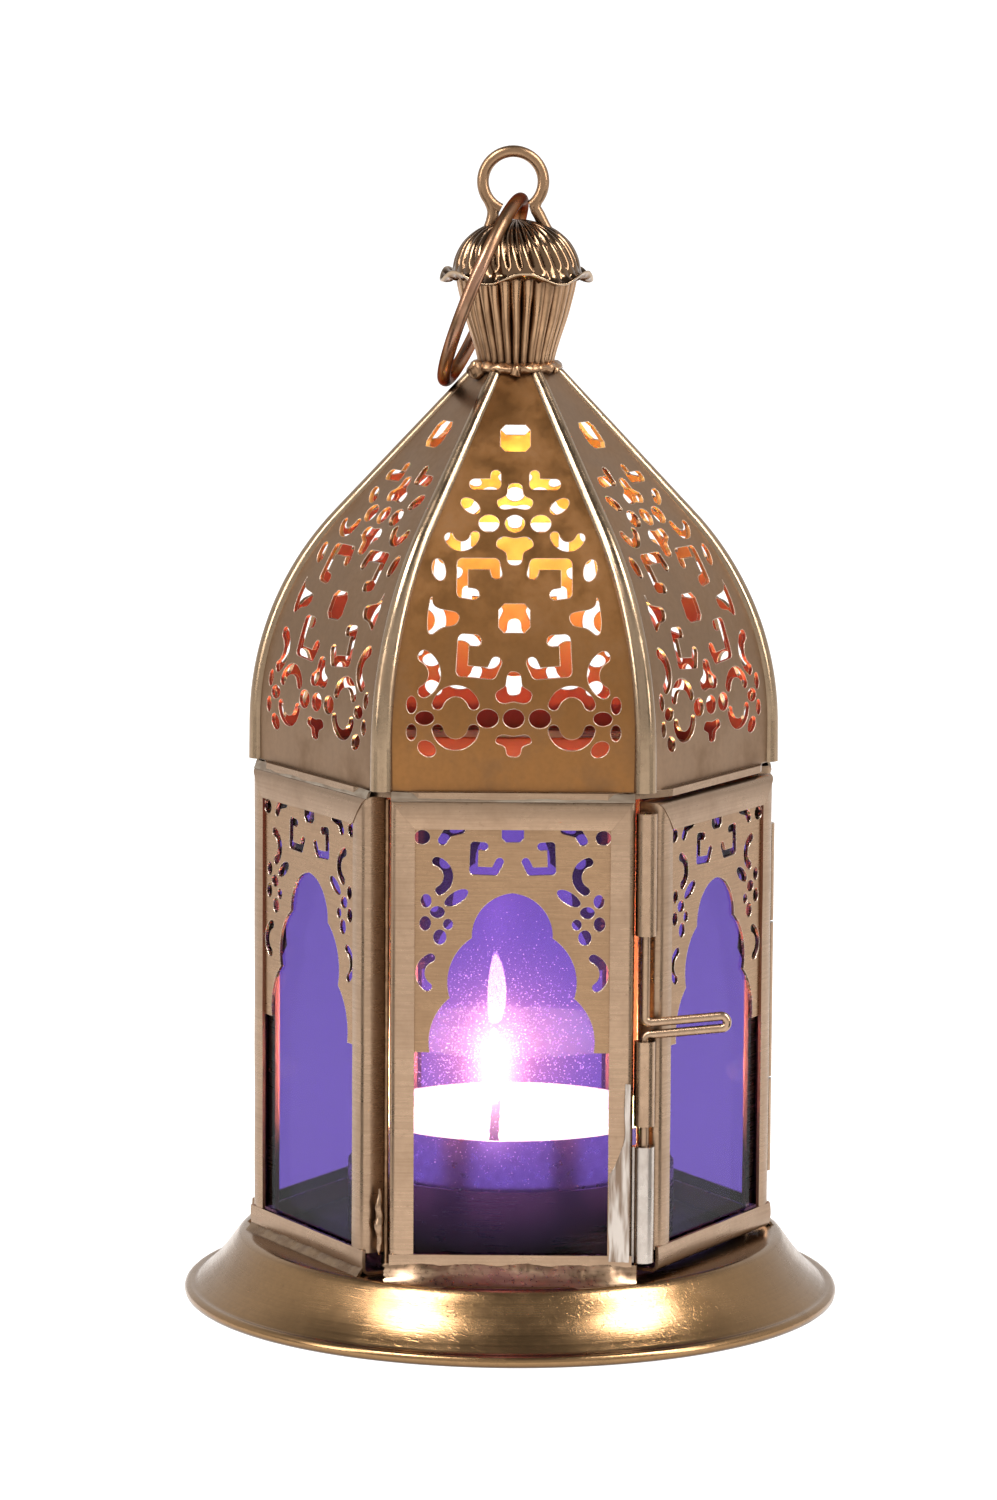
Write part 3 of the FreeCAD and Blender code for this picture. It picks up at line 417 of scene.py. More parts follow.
# Glass: places on the front pane and lengths in millimetres
PANE_BEND = 1.15
BACK_BEND = 1.7
WIPE_SCALE = (90, 90, 40)
WIPES = (0.55, 0.8, 0.0, 0.008)
# Painted glow on the front pane: where it centres and how it falls off, in millimetres
HAZE_MIDDLE = (-2.0, -28.6, 36.5)
HAZE_REACH = 26.0
HAZE_FALL = 5.0
HAZE_CORE = 0.8
HAZE_WIDE = 0.11
HAZE_TURN = (0.4, 0.8)
VEIL_FOOT = 18.0
VEIL_FULL = 30.0
VEIL = 0.02
BLOOM_MIDDLE = (-2.0, -28.6, 34.0)
BLOOM_STRETCH = (1.0, 1.0, 0.42)
BLOOM_REACH = 5.6
BLOOM_FALL = 2.0
BLOOM_LIGHT = 1.6
DUST_SCALE = 3900.0
DUST_BAR = 0.83
DUST_MORE = -0.24
DUST_LIGHT = 1.5


def fade(shader, middle, reach, stretch=(1.0, 1.0, 1.0)):
    """1 at a place in millimetres, falling to 0 at the reach."""
    away = shader.distance([part * MM for part in middle], stretch)
    return shader.ramp(away, 0.0, reach * MM, 1.0, 0.0)


def violet_glass(name, painted_glowing, bend):
    """Tinted pane. The one before the flame has a painted glow round it, and painted glints on grains of
    dust.
    """
    shader = Shader(name)
    shader.set(Base_Color=rgba(finish().glass), IOR=bend, Transmission_Weight=1.0)
    wipes = shader.noise(shader.place(WIPE_SCALE), detail=4.0, roughness=0.6)
    shader.set(Roughness=shader.ramp(wipes, *WIPES))
    if painted_glowing:
        # Painted glow, bloom, veil and glints: light laid on the pane as its own emission
        near = fade(shader, HAZE_MIDDLE, HAZE_REACH)
        core = shader.math("POWER", near, HAZE_FALL)
        painted_bloom = shader.math("POWER", fade(shader, BLOOM_MIDDLE, BLOOM_REACH, BLOOM_STRETCH), BLOOM_FALL)
        dust = shader.noise(shader.place(), scale=DUST_SCALE, detail=1.0)
        spark = shader.math("GREATER_THAN", dust, shader.plus(DUST_BAR, near, DUST_MORE))
        glow = shader.mix(shader.ramp(near, *HAZE_TURN), rgba(finish().painted_far_haze), rgba(finish().painted_haze))
        glow = shader.mix(painted_bloom, glow, rgba(finish().painted_bloom))
        shader.set(Emission_Color=shader.mix(spark, glow, rgba(finish().painted_dust_glint)))
        light = shader.ramp(shader.height(), VEIL_FOOT * MM, VEIL_FULL * MM, 0.0, VEIL)
        light = shader.plus(light, core, HAZE_CORE)
        light = shader.plus(light, near, HAZE_WIDE)
        light = shader.plus(light, painted_bloom, BLOOM_LIGHT)
        light = shader.plus(light, shader.math("MULTIPLY", spark, near), DUST_LIGHT)
        shader.set(Emission_Strength=light)
    return shader.material


# Plain metal
METAL_GRAIN = 900.0
METAL_CLOUDS = (0.4, 0.7, 0.0, 0.4)
METAL_DIM = 0.6
METAL_SHINE = (0.3, 0.7)
METAL_SPREAD = (-0.06, 0.1)


def plain_metal(name, shade, roughness):
    """Plain sheet metal with a cloudy, slightly uneven shine."""
    shader = Shader(name)
    cloud = shader.noise(shader.place(), scale=METAL_GRAIN, detail=3.0)
    dim = rgba(scaled(shade, METAL_DIM))
    shader.set(Base_Color=shader.mix(shader.ramp(cloud, *METAL_CLOUDS), rgba(shade), dim), Metallic=1.0)
    shader.set(Roughness=shader.ramp(cloud, *METAL_SHINE, *around(roughness, METAL_SPREAD)))
    return shader.material


def dress(node, material):
    """Gives a CAD node its finish."""
    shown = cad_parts[node]
    shown.data.materials.clear()
    shown.data.materials.append(material)


# Modelling one piece at a time; edges under these angles, in degrees, are smoothed
ROUND = 60
TURNED = 50
FOLDED = 35
DOUBLED = 0.002


def clear_selection():
    """Deselects everything, so that an operator acts on the new piece alone."""
    bpy.ops.object.select_all(action="DESELECT")


def unit(value):
    """A value kept between 0 and 1."""
    return min(1.0, max(0.0, value))


def wall_point(side, across, out, height):
    """A place on a wall: millimetres across it, out from the axis and up."""
    return Matrix.Rotation(math.radians(SIDE_ANGLES[side]), 3, "Z") @ Vector((across, -out, height)) * MM


def finer(outline):
    """An outline with one more point in each stretch, on the curve through its neighbours."""
    ends = [outline[0]] + list(outline) + [outline[-1]]
    points = []
    for before, first, second, after in zip(ends, ends[1:], ends[2:], ends[3:]):
        points.append(first)
        points.append([(9 * (b + c) - (a + d)) / 16 for a, b, c, d in zip(before, first, second, after)])
    return points + [outline[-1]]


def spun(outline, steps):
    """A piece turned on the lathe: points of (radius, height) in millimetres, spun about the axis."""
    clear_selection()
    bpy.ops.mesh.primitive_plane_add(size=MM)
    bpy.ops.object.mode_set(mode="EDIT")
    bpy.ops.mesh.merge(type="CENTER")
    bpy.ops.transform.translate(value=(outline[0][0] * MM, 0, outline[0][1] * MM))
    for (radius, height), (next_radius, next_height) in zip(outline, outline[1:]):
        step = ((next_radius - radius) * MM, 0, (next_height - height) * MM)
        bpy.ops.mesh.extrude_vertices_move(TRANSFORM_OT_translate={"value": step})
    bpy.ops.mesh.select_all(action="SELECT")
    bpy.ops.mesh.spin(steps=steps, angle=2 * math.pi, center=(0, 0, 0), axis=(0, 0, 1))
    bpy.ops.object.mode_set(mode="OBJECT")
    return bpy.context.active_object


def wire(points, radius, widths=None, sides=4):
    """A round wire through points in metres, of one thickness or with a width for each point."""
    clear_selection()
    bpy.ops.curve.primitive_nurbs_path_add()
    shape = bpy.context.active_object.data
    shape.splines.clear()
    spline = shape.splines.new("POLY")
    spline.points.add(len(points) - 1)
    for index, place in enumerate(points):
        spline.points[index].co = (*place, 1.0)
        spline.points[index].radius = widths[index] if widths else 1.0
    shape.bevel_depth = radius * MM
    shape.bevel_resolution = sides
    shape.use_fill_caps = True
    bpy.ops.object.convert(target="MESH")
    return bpy.context.active_object


def close_up(piece, angle):
    """Merges doubled points, turns the faces outwards and smooths all but the sharp edges."""
    clear_selection()
    piece.select_set(True)
    bpy.context.view_layer.objects.active = piece
    bpy.ops.object.transform_apply(location=True, rotation=True, scale=True)
    bpy.ops.object.mode_set(mode="EDIT")
    bpy.ops.mesh.select_all(action="SELECT")
    bpy.ops.mesh.remove_doubles(threshold=DOUBLED * MM)
    bpy.ops.mesh.normals_make_consistent(inside=False)
    bpy.ops.object.mode_set(mode="OBJECT")
    bpy.ops.object.shade_smooth_by_angle(angle=math.radians(angle))


def place_piece(piece, name, body, material, replaced=()):
    """Names a finished piece, gives it its finish and lets it ride on its body."""
    piece.name = name
    piece.data.name = name
    piece.data.materials.clear()
    piece.data.materials.append(material)
    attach(piece, body)
    if replaced:
        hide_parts(*replaced)


ROUGH_SEED = 5


def roughen(piece, amount, grain):
    """Moves the points of a piece by a smooth noise, in millimetres, the same at every run."""
    noise.seed_set(ROUGH_SEED)
    for point in piece.data.vertices:
        shift = noise.noise_vector(point.co / (grain * MM))
        point.co += shift * (amount * MM)


def polar(point):
    """Radius in millimetres and angle of a point round the lantern's axis."""
    return math.hypot(point.x, point.y) / MM, math.atan2(point.y, point.x)


def set_polar(point, radius, angle, height):
    point.co = Vector((radius * math.cos(angle), radius * math.sin(angle), height)) * MM


# Finial
FLUTES = 30
FLUTE_ROUND = 0.6
FLUTE_STEPS = FLUTES * 12
FLUTE_DEPTH = 0.55
FLUTE_SWIRL = 0.10 / 3
FLUTE_START = 0.8
FLUTE_GROWS = 2.5
FLUTE_FADES = 1.6
LOBES = 6
LOBE_HEIGHT = 0.72
LOBE_DROP = 0.3
LOBE_TURN = math.radians(-84.0)
DOME_RADIUS = 8.0
RIM_RADIUS = 9.65
FLUTE_END = RIM_RADIUS + 0.1
# The painted highlight along the cap's rim edge starts at this radius
RIM_HIGHLIGHT_FROM = RIM_RADIUS - 0.05
DOME_MIDDLE = 131.0
CAP_OUTLINE = [
    (0.0, 137.6), (1.2, 137.55), (2.4, 137.3), (3.6, 136.95), (4.8, 136.4), (5.8, 135.7), (6.7, 134.8),
    (7.4, 133.7), (7.85, 132.6), (8.05, 131.7), (8.2, 131.15), (8.6, 130.85), (9.1, 130.75), (9.65, 130.95),
    (9.55, 130.65), (9.0, 130.42), (8.4, 130.45), (7.8, 130.8), (7.5, 131.5), (7.25, 132.4), (6.8, 133.4),
    (6.1, 134.4), (5.2, 135.3), (4.3, 135.9), (3.2, 136.4), (2.0, 136.75), (0.9, 136.9), (0.0, 136.95)]
CUP_OUTLINE = [
    (4.85, 119.75), (4.95, 120.3), (5.2, 121.3), (5.6, 122.6), (6.0, 123.8), (6.4, 125.0), (6.75, 126.2),
    (7.05, 127.4), (7.35, 128.6), (7.55, 129.6), (7.7, 130.4),
    (7.2, 130.4), (7.05, 129.6), (6.85, 128.6), (6.55, 127.4), (6.25, 126.2), (5.9, 125.0), (5.5, 123.8),
    (5.1, 122.6), (4.7, 121.3), (4.45, 120.3), (4.35, 119.75)]
CUP_PLEAT_DEPTH = 0.42
CUP_SLIT_DEPTH = 0.5
CUP_SLIT_SPREAD = 4.0
CUP_SLIT_MIDDLE = 126.2
CUP_SLIT_HALF = 2.4
# How the pleats differ: steps from one to the next in the noise, and where in it they start
PLEAT_NOISE = (1.7, 3.5)
SLIT_NOISE = (2.3, 9.5)


def fold_noise(fold, step, start):
    """How one fold differs from the rest, from -1 to 1."""
    return noise.noise(Vector((fold * step, start, 0)))


def flute(angle):
    """0 in the sharp valley between two flutes, 1 along a flute's round back."""
    return abs(math.sin(FLUTES * angle / 2)) ** FLUTE_ROUND


def make_cap(material):
    """The fluted dome with its flared rim, which waves up and down round the edge."""
    piece = spun(finer(finer(CAP_OUTLINE)), FLUTE_STEPS)
    for point in piece.data.vertices:
        radius, angle = polar(point.co)
        height = point.co.z / MM
        valley = FLUTE_DEPTH * (1 - flute(angle + FLUTE_SWIRL * (height - DOME_MIDDLE)))
        valley *= unit((radius - FLUTE_START) / FLUTE_GROWS) * unit((FLUTE_END - radius) / FLUTE_FADES)
        out = Vector((radius, height - DOME_MIDDLE)).normalized() if radius < DOME_RADIUS else Vector((0, 1))
        radius -= valley * out.x
        height -= valley * out.y
        flare = max(0.0, (radius - DOME_RADIUS) / (RIM_RADIUS - DOME_RADIUS))
        height += LOBE_HEIGHT * flare * (math.cos(LOBES * (angle - LOBE_TURN)) - LOBE_DROP)
        set_polar(point, radius, angle, height)
    close_up(piece, ROUND)
    place_piece(piece, "finial_cap_fluted", "lantern", material, ["finial_cap"])


def make_cup(material):
    """The pleated cup under the cap, its folds opened into slits at half height."""
    piece = spun(CUP_OUTLINE, FLUTE_STEPS)
    for point in piece.data.vertices:
        radius, angle = polar(point.co)
        height = point.co.z / MM
        fold = round((angle + math.pi) / (2 * math.pi) * FLUTES)
        uneven = fold_noise(fold, *PLEAT_NOISE)
        middle = CUP_SLIT_MIDDLE + CUP_SLIT_SPREAD * fold_noise(fold, *SLIT_NOISE)
        slit = max(0.0, 1 - ((height - middle) / CUP_SLIT_HALF) ** 2)
        depth = CUP_PLEAT_DEPTH * (1 + uneven) + (CUP_SLIT_DEPTH * slit if uneven > 0 else 0.0)
        set_polar(point, radius - depth * (1 - flute(angle)), angle, height)
    close_up(piece, ROUND)
    place_piece(piece, "finial_cup_pleated", "lantern", material, ["finial_cup"])


COLLAR_OUTLINE = [(0.0, 119.8), (4.9, 119.85), (5.4, 119.7), (5.75, 119.4), (5.85, 119.1), (5.7, 118.8),
                  (5.2, 118.4), (0.0, 118.4)]
COLLAR_STEPS = 120
NECK_LUMP_RADIUS = 5.7
NECK_LUMP_HEIGHT = 118.9
NECK_LUMP_SIZE = 0.65
NECK_LUMP_SPREAD = 0.15
# Steps in the sine that makes the lumps uneven, and the largest one: its place in the round and its size
LUMP_STEP = 2.1
LARGEST_LUMP = (3, 1.2)
NECK_ROUGH = (0.3, 0.9)


def make_neck_seam(material):
    """The ragged ring of solder between cup and roof, with a lump over each rib's end."""
    lumps = [spun(COLLAR_OUTLINE, COLLAR_STEPS)]
    for step in range(6):
        angle = math.radians(60 * step + 30)
        size = NECK_LUMP_SIZE + NECK_LUMP_SPREAD * math.sin(step * LUMP_STEP)
        if step == LARGEST_LUMP[0]:
            size = LARGEST_LUMP[1]
        place = Vector((math.cos(angle) * NECK_LUMP_RADIUS, math.sin(angle) * NECK_LUMP_RADIUS,
                        NECK_LUMP_HEIGHT)) * MM
        clear_selection()
        bpy.ops.mesh.primitive_ico_sphere_add(subdivisions=4, radius=size * MM, location=place)
        bpy.ops.object.transform_apply(location=True, rotation=True, scale=True)
        lumps.append(bpy.context.active_object)
    piece = joined(lumps)
    roughen(piece, *NECK_ROUGH)
    close_up(piece, ROUND)
    place_piece(piece, "neck_seam", "lantern", material, ["neck_collar"])


EYE_MIDDLE = (-0.5, 142.302)
EYE_RADIUS = 3.8
EYE_WIRE = 1.5
EYE_ENDS = (246, -54)
EYE_STEP = 6
LEFT_LEG = [(-2.99, 139.96), (-2.65, 139.2), (-2.5, 138.6), (-2.53, 138.0), (-2.7, 137.2), (-3.0, 136.4)]
RIGHT_LEG = [(2.99, 139.96), (2.75, 139.2), (2.95, 138.7), (3.26, 138.2), (3.6, 137.5), (3.95, 136.8),
             (4.3, 136.2)]
# Painted light and shade: the cap and eye are darker, the cup a lighter, copy of the same finial brass
CAP_PAINTED_SHADE = 0.55
CUP_PAINTED_LIGHT = 1.3
EYE_PAINTED_SHADE = 0.88


def make_eye(material):
    """The omega of wire: a loop bent almost shut, with two spread legs that are soldered to the cap."""
    across, middle = EYE_MIDDLE
    loop = []
    for degrees in range(EYE_ENDS[0], EYE_ENDS[1] - 1, -EYE_STEP):
        turn = math.radians(degrees)
        loop.append((EYE_RADIUS * math.cos(turn), middle + EYE_RADIUS * math.sin(turn)))
    bends = []
    for line in (loop, LEFT_LEG, RIGHT_LEG):
        bends.append(wire([Vector((across + x, 0, z)) * MM for x, z in line], EYE_WIRE / 2, sides=6))
    piece = joined(bends)
    close_up(piece, ROUND)
    place_piece(piece, "hanging_eye_bent", "lantern", material, ["hanging_eye"])


class LANTERN_OT_finial(bpy.types.Operator):
    """Model the fluted cap, the pleated cup, the eye and the solder at the neck, and finish the ring."""
    bl_idname = "lantern.finial"
    bl_label = "Make finial"

    def execute(self, context):
        look = finish()
        # Painted shade on cap and eye, painted light on the cup, as copies of one brass
        make_cap(brass("brass_cap", scaled(look.finial_brass, CAP_PAINTED_SHADE), brush=(200.0, 200.0, 200.0),
                       roughness=0.17, tarnish=0.15, line_depth=0.0, rim_highlight=RIM_HIGHLIGHT_FROM))
        make_cup(brass("brass_cup", scaled(look.finial_brass, CUP_PAINTED_LIGHT), brush=(900.0, 900.0, 120.0),
                       roughness=0.27, tarnish=0.75, grime_and_shade_share=0.65))
        make_eye(brass("brass_eye", scaled(look.finial_brass, EYE_PAINTED_SHADE), roughness=0.28))
        make_neck_seam(solder_grey("neck_solder", look.finial_brass, roughness=0.3))
        dress("carry_ring", copper_brown())
        return {"FINISHED"}


# Walls
HALF_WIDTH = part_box("front_stiles")[1].x / MM
FRAME_BACK = -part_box("front_stiles")[1].y / MM
FRAME_SHEET = 0.4
FOLD = 1.0
BACK_FOLD = 0.35
BACK_FOLD_INSIDE = 0.05
STILE_FACE = 3.0
TOP_RAIL_FACE = 3.6
BOTTOM_RAIL_FACE = 3.2
CROWN = 0.09
CROWN_RISES = 0.75
CROWN_TOP = 0.55
RAIL_PROUD = 0.1
LIP_SHORT = 0.5
FOOT_LAP = 0.4
DENT = 0.05
DENT_SCALE = (0.25, 0.12)
FOLD_STEPS = 6
# Painted light: the front frame gets a lighter copy of the same brass as the other walls
FRONT_PAINTED_LIGHT = 1.12


def quarter(middle_x, middle_y, radius, start):
    """Points of a quarter circle, from a start angle in degrees."""
    turns = [math.radians(start + 90 * step / FOLD_STEPS) for step in range(FOLD_STEPS + 1)]
    return [(middle_x + radius * math.cos(turn), middle_y + radius * math.sin(turn)) for turn in turns]


def channel_outline(face, edge, out):
    """Section of a folded channel: face, fold, side, fold and back lip, then the same inside."""
    lip = edge - (face - LIP_SHORT)
    outer = [(edge - face, out), (edge - face * CROWN_RISES, out + CROWN * CROWN_RISES),
             (edge - face * CROWN_TOP, out + CROWN)]
    outer += reversed(quarter(edge - FOLD, out - FOLD, FOLD, 0))
    outer += reversed(quarter(edge - BACK_FOLD, FRAME_BACK + BACK_FOLD, BACK_FOLD, -90))
    corner = FRAME_SHEET + BACK_FOLD_INSIDE
    inner = [(lip, FRAME_BACK), (lip, FRAME_BACK + FRAME_SHEET)]
    inner += quarter(edge - corner, FRAME_BACK + corner, BACK_FOLD_INSIDE, -90)
    inner += quarter(edge - FOLD, out - FOLD, FOLD - FRAME_SHEET, 0)
    return outer + inner + [(edge - face, out - FRAME_SHEET)]


def drawn(outline, rows):
    """A bar of the given section, drawn out in equal rows along its length."""
    clear_selection()
    bpy.ops.mesh.primitive_circle_add(vertices=len(outline), radius=MM, fill_type="NGON")
    piece = bpy.context.active_object
    for point, (x, y) in zip(piece.data.vertices, outline):
        point.co = Vector((x, y, 0)) * MM
    bpy.ops.object.mode_set(mode="EDIT")
    bpy.ops.mesh.select_all(action="SELECT")
    for row in range(rows):
        bpy.ops.mesh.extrude_region_move(TRANSFORM_OT_translate={"value": (0, 0, MM)})
    bpy.ops.object.mode_set(mode="OBJECT")
    return piece


def joined(pieces):
    """Several meshes as one piece."""
    clear_selection()
    for piece in pieces:
        piece.select_set(True)
    bpy.context.view_layer.objects.active = pieces[0]
    bpy.ops.object.join()
    return bpy.context.active_object


def dent(across, height, seed):
    """Small unevenness of hand-folded sheet, in millimetres."""
    return DENT * noise.noise(Vector((across * DENT_SCALE[0], height * DENT_SCALE[1], seed)))


STILE_ROWS = 30
RAIL_ROWS = 16
RAIL_DENTS = 3
RAIL_SEED = 9


def make_stiles(side, bottom, top):
    """Both stiles of a wall, folded from sheet and mitred at the top."""
    stiles = []
    outline = channel_outline(STILE_FACE, HALF_WIDTH, WALL_APOTHEM - CROWN)
    foot = bottom + BOTTOM_RAIL_FACE - FOOT_LAP
    for hand in (-1, 1):
        piece = drawn(outline, STILE_ROWS)
        for point in piece.data.vertices:
            across, out, row = point.co / MM
            end = top - TOP_RAIL_FACE * (HALF_WIDTH - across) / STILE_FACE
            height = foot + (end - foot) * row / STILE_ROWS
            across *= hand
            point.co = wall_point(side, across, out + dent(across, height, SIDE_ANGLES[side]), height)
        stiles.append(piece)
    return joined(stiles)


def make_rails(side, bottom, top):
    """The mitred top rail, which stands a little proud, and the bottom rail across the stiles' feet."""
    rails = []
    for low, edge, hand, face in ((True, -bottom, -1, BOTTOM_RAIL_FACE), (False, top, 1, TOP_RAIL_FACE)):
        piece = drawn(channel_outline(face, edge, WALL_APOTHEM + RAIL_PROUD - CROWN), RAIL_ROWS)
        for point in piece.data.vertices:
            height, out, row = point.co / MM
            height *= hand
            reach = HALF_WIDTH if low else HALF_WIDTH - STILE_FACE * (top - height) / TOP_RAIL_FACE
            across = reach * (2 * row / RAIL_ROWS - 1)
            uneven = dent(across, height * RAIL_DENTS, SIDE_ANGLES[side] + RAIL_SEED)
            point.co = wall_point(side, across, out + uneven, height)
        rails.append(piece)
    return joined(rails)


def make_frame(side, material):
    """A wall's folded frame, in place of its plain channel."""
    body = "door" if side == "door" else "lantern"
    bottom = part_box(side + "_rails")[0].z / MM
    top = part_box(side + "_rails")[1].z / MM
    stiles = make_stiles(side, bottom, top)
    close_up(stiles, FOLDED)
    place_piece(stiles, side + "_stiles_folded", body, material, [side + "_stiles"])
    rails = make_rails(side, bottom, top)
    close_up(rails, FOLDED)
    place_piece(rails, side + "_rails_folded", body, material, [side + "_rails"])


SHOULDER = 34.5
SMEAR_GRID = (80, 24)
SMEAR_SKIN = 0.35
# How soon, from its sides and its ends, a smear is at its full thickness
SMEAR_EDGES = (6, 4)
# Waves of its side, how often and where in the noise, and of its upper edge, how often, how much and where
SIDE_WAVE = (6, 4.0)
SMEAR_WAVES = ((0.3, 1.0, 0.0), (1.1, 0.4, 7.0))
CLOTS = 0.7


def smear(side, width, height, out, thick, seed, ragged, grain=(0.35, 0.9), taper=None, hollow=1.0):
    """Solder wiped over a seam: a thin uneven skin between two widths, heights and depths.

    It stays on the base's shoulder, and hollow under 1 draws it in to a fillet.
    """
    clear_selection()
    bpy.ops.mesh.primitive_grid_add(x_subdivisions=SMEAR_GRID[0], y_subdivisions=SMEAR_GRID[1], size=1.0)
    piece = bpy.context.active_object
    sides, ends = SMEAR_EDGES
    for point in piece.data.vertices:
        u, v = point.co.x + 0.5, point.co.y + 0.5
        left, right = taper(v) if taper else width
        wander = noise.noise(Vector((v * SIDE_WAVE[0], seed, SIDE_WAVE[1])))
        across = left + ragged * wander * (1 - u) + (right - left) * u
        wave = 0.0
        for often, much, start in SMEAR_WAVES:
            wave += much * noise.noise(Vector((across * often, seed, start)))
        up = height[0] + (height[1] - height[0] + ragged * wave) * v
        edge = unit(min(sides * u, sides * (1 - u), ends * v, ends * (1 - v)))
        clots = CLOTS + CLOTS * noise.noise(Vector((across * grain[0], up * grain[1], seed)))
        foot = min(out[0], math.sqrt(SHOULDER ** 2 - across ** 2))
        depth = foot + (out[1] - foot) * v ** hollow
        point.co = wall_point(side, across, depth + thick * edge ** 0.5 * clots, up)
    skin = piece.modifiers.new("skin", "SOLIDIFY")
    skin.thickness = SMEAR_SKIN * MM
    skin.offset = -1.0
    bpy.ops.object.modifier_apply(modifier=skin.name)
    close_up(piece, ROUND)
    return piece


FOOT_SMEAR = {"width": (-15.6, 15.6), "height": (8.1, 10.3), "out": (33.4, 29.75), "thick": 0.2,
              "ragged": 0.35, "hollow": 0.65}
SIDE_SMEAR = {"width": (-14.9, 14.9), "height": (8.1, 9.1), "out": (30.7, 29.75), "thick": 0.14,
              "ragged": 0.25}
TOP_SMEAR = {"width": (-14.9, 14.9), "height": (68.0, 69.05), "out": (29.45, 29.0), "thick": 0.14,
             "ragged": 0.1}
TOP_SEED = 20.5


def make_wall_seams(foot_material, side_material, top_material):
    """Solder along the foot and the top of each fixed wall, broad at the front and thin at the others."""
    for seed, side in enumerate(SIDE_ANGLES):
        if side == "door":
            continue
        foot = smear(side, seed=seed, **(FOOT_SMEAR if side == "front" else SIDE_SMEAR))
        place_piece(foot, "foot_solder_" + side, "lantern",
                    foot_material if side == "front" else side_material)
        top = smear(side, seed=seed + TOP_SEED, **TOP_SMEAR)
        place_piece(top, "top_solder_" + side, "lantern", top_material)


KEEPER_SMEAR = {"width": None, "height": (10.2, 33.0), "out": (29.86, 29.78), "thick": 0.2, "ragged": 0.3,
                "grain": (0.9, 0.3)}
KEEPER_SEED = 1.3
SMEAR_RIGHT = 14.7
SMEAR_LEFT = 12.1
SMEAR_TIP = 13.9
TONGUE_FOOT = 0.5
TONGUE_RISE = 0.18
TONGUE_ROUND = 0.7


def keeper_taper(up):
    """Left and right edge of the solder beside the keeper: broad below, a thin tongue above."""
    narrow = unit((up - TONGUE_FOOT) / TONGUE_RISE) ** TONGUE_ROUND
    return SMEAR_LEFT + (SMEAR_TIP - SMEAR_LEFT) * narrow, SMEAR_RIGHT


def make_keeper_solder(material):
    """The flat smear of solder that holds the keeper to the front wall's right stile."""
    piece = smear("front", seed=KEEPER_SEED, taper=keeper_taper, **KEEPER_SMEAR)
    place_piece(piece, "keeper_solder", "lantern", material)


GROOVE_ANGLE = -30.0
GROOVE_OUT = 32.4
GROOVE_FOOT = 11.0
GROOVE_STEP = 0.4
GROOVE_ROWS = 22
GROOVE_WAVE = (0.15, 0.9)
DRIP_RADIUS = 0.55
DRIP_START = 0.6
DRIP_END = 0.2
DRIP_ROUND = 0.6
DRIP_ROUGH = (0.12, 0.8)


def make_groove_solder(material):
    """A drip of solder in the groove between the left and the front wall."""
    angle = math.radians(GROOVE_ANGLE)
    points, widths = [], []
    for index in range(GROOVE_ROWS):
        height = GROOVE_FOOT + GROOVE_STEP * index
        out = GROOVE_OUT + GROOVE_WAVE[0] * math.sin(index * GROOVE_WAVE[1])
        points.append(Vector((math.sin(angle) * out, -math.cos(angle) * out, height)) * MM)
        widths.append(math.sin(math.pi * (index + DRIP_START) / (GROOVE_ROWS + DRIP_END)) ** DRIP_ROUND)
    piece = wire(points, DRIP_RADIUS, widths)
    roughen(piece, *DRIP_ROUGH)
    close_up(piece, ROUND)
    place_piece(piece, "groove_solder", "lantern", material)


CORNER_ANGLES = {"front_left": -30, "left": -90, "back_left": -150, "back": 150}
CORNER_OUT = 30.6
CORNER_SIDE = -0.12
CORNER_BEAD = 0.3
CORNER_ROWS = 40
CORNER_ENDS = (0.6, 0.4)
CORNER_WAVE = (0.05, 0.4)


def make_corner_beads(material):
    """The thin line of solder between two fixed frames, which leaves only a slit for the light."""
    for name, degrees in CORNER_ANGLES.items():
        turn = Matrix.Rotation(math.radians(degrees), 3, "Z")
        foot, top = WALL_FOOT + CORNER_ENDS[0], WALL_TOP - CORNER_ENDS[1]
        points = []
        for row in range(CORNER_ROWS + 1):
            height = foot + (top - foot) * row / CORNER_ROWS
            wave = CORNER_WAVE[0] * noise.noise(Vector((height * CORNER_WAVE[1], degrees, 0)))
            side = CORNER_SIDE + wave
            points.append(turn @ Vector((side, -CORNER_OUT, height)) * MM)
        piece = wire(points, CORNER_BEAD)
        close_up(piece, ROUND)
        place_piece(piece, "corner_solder_" + name, "lantern", material)


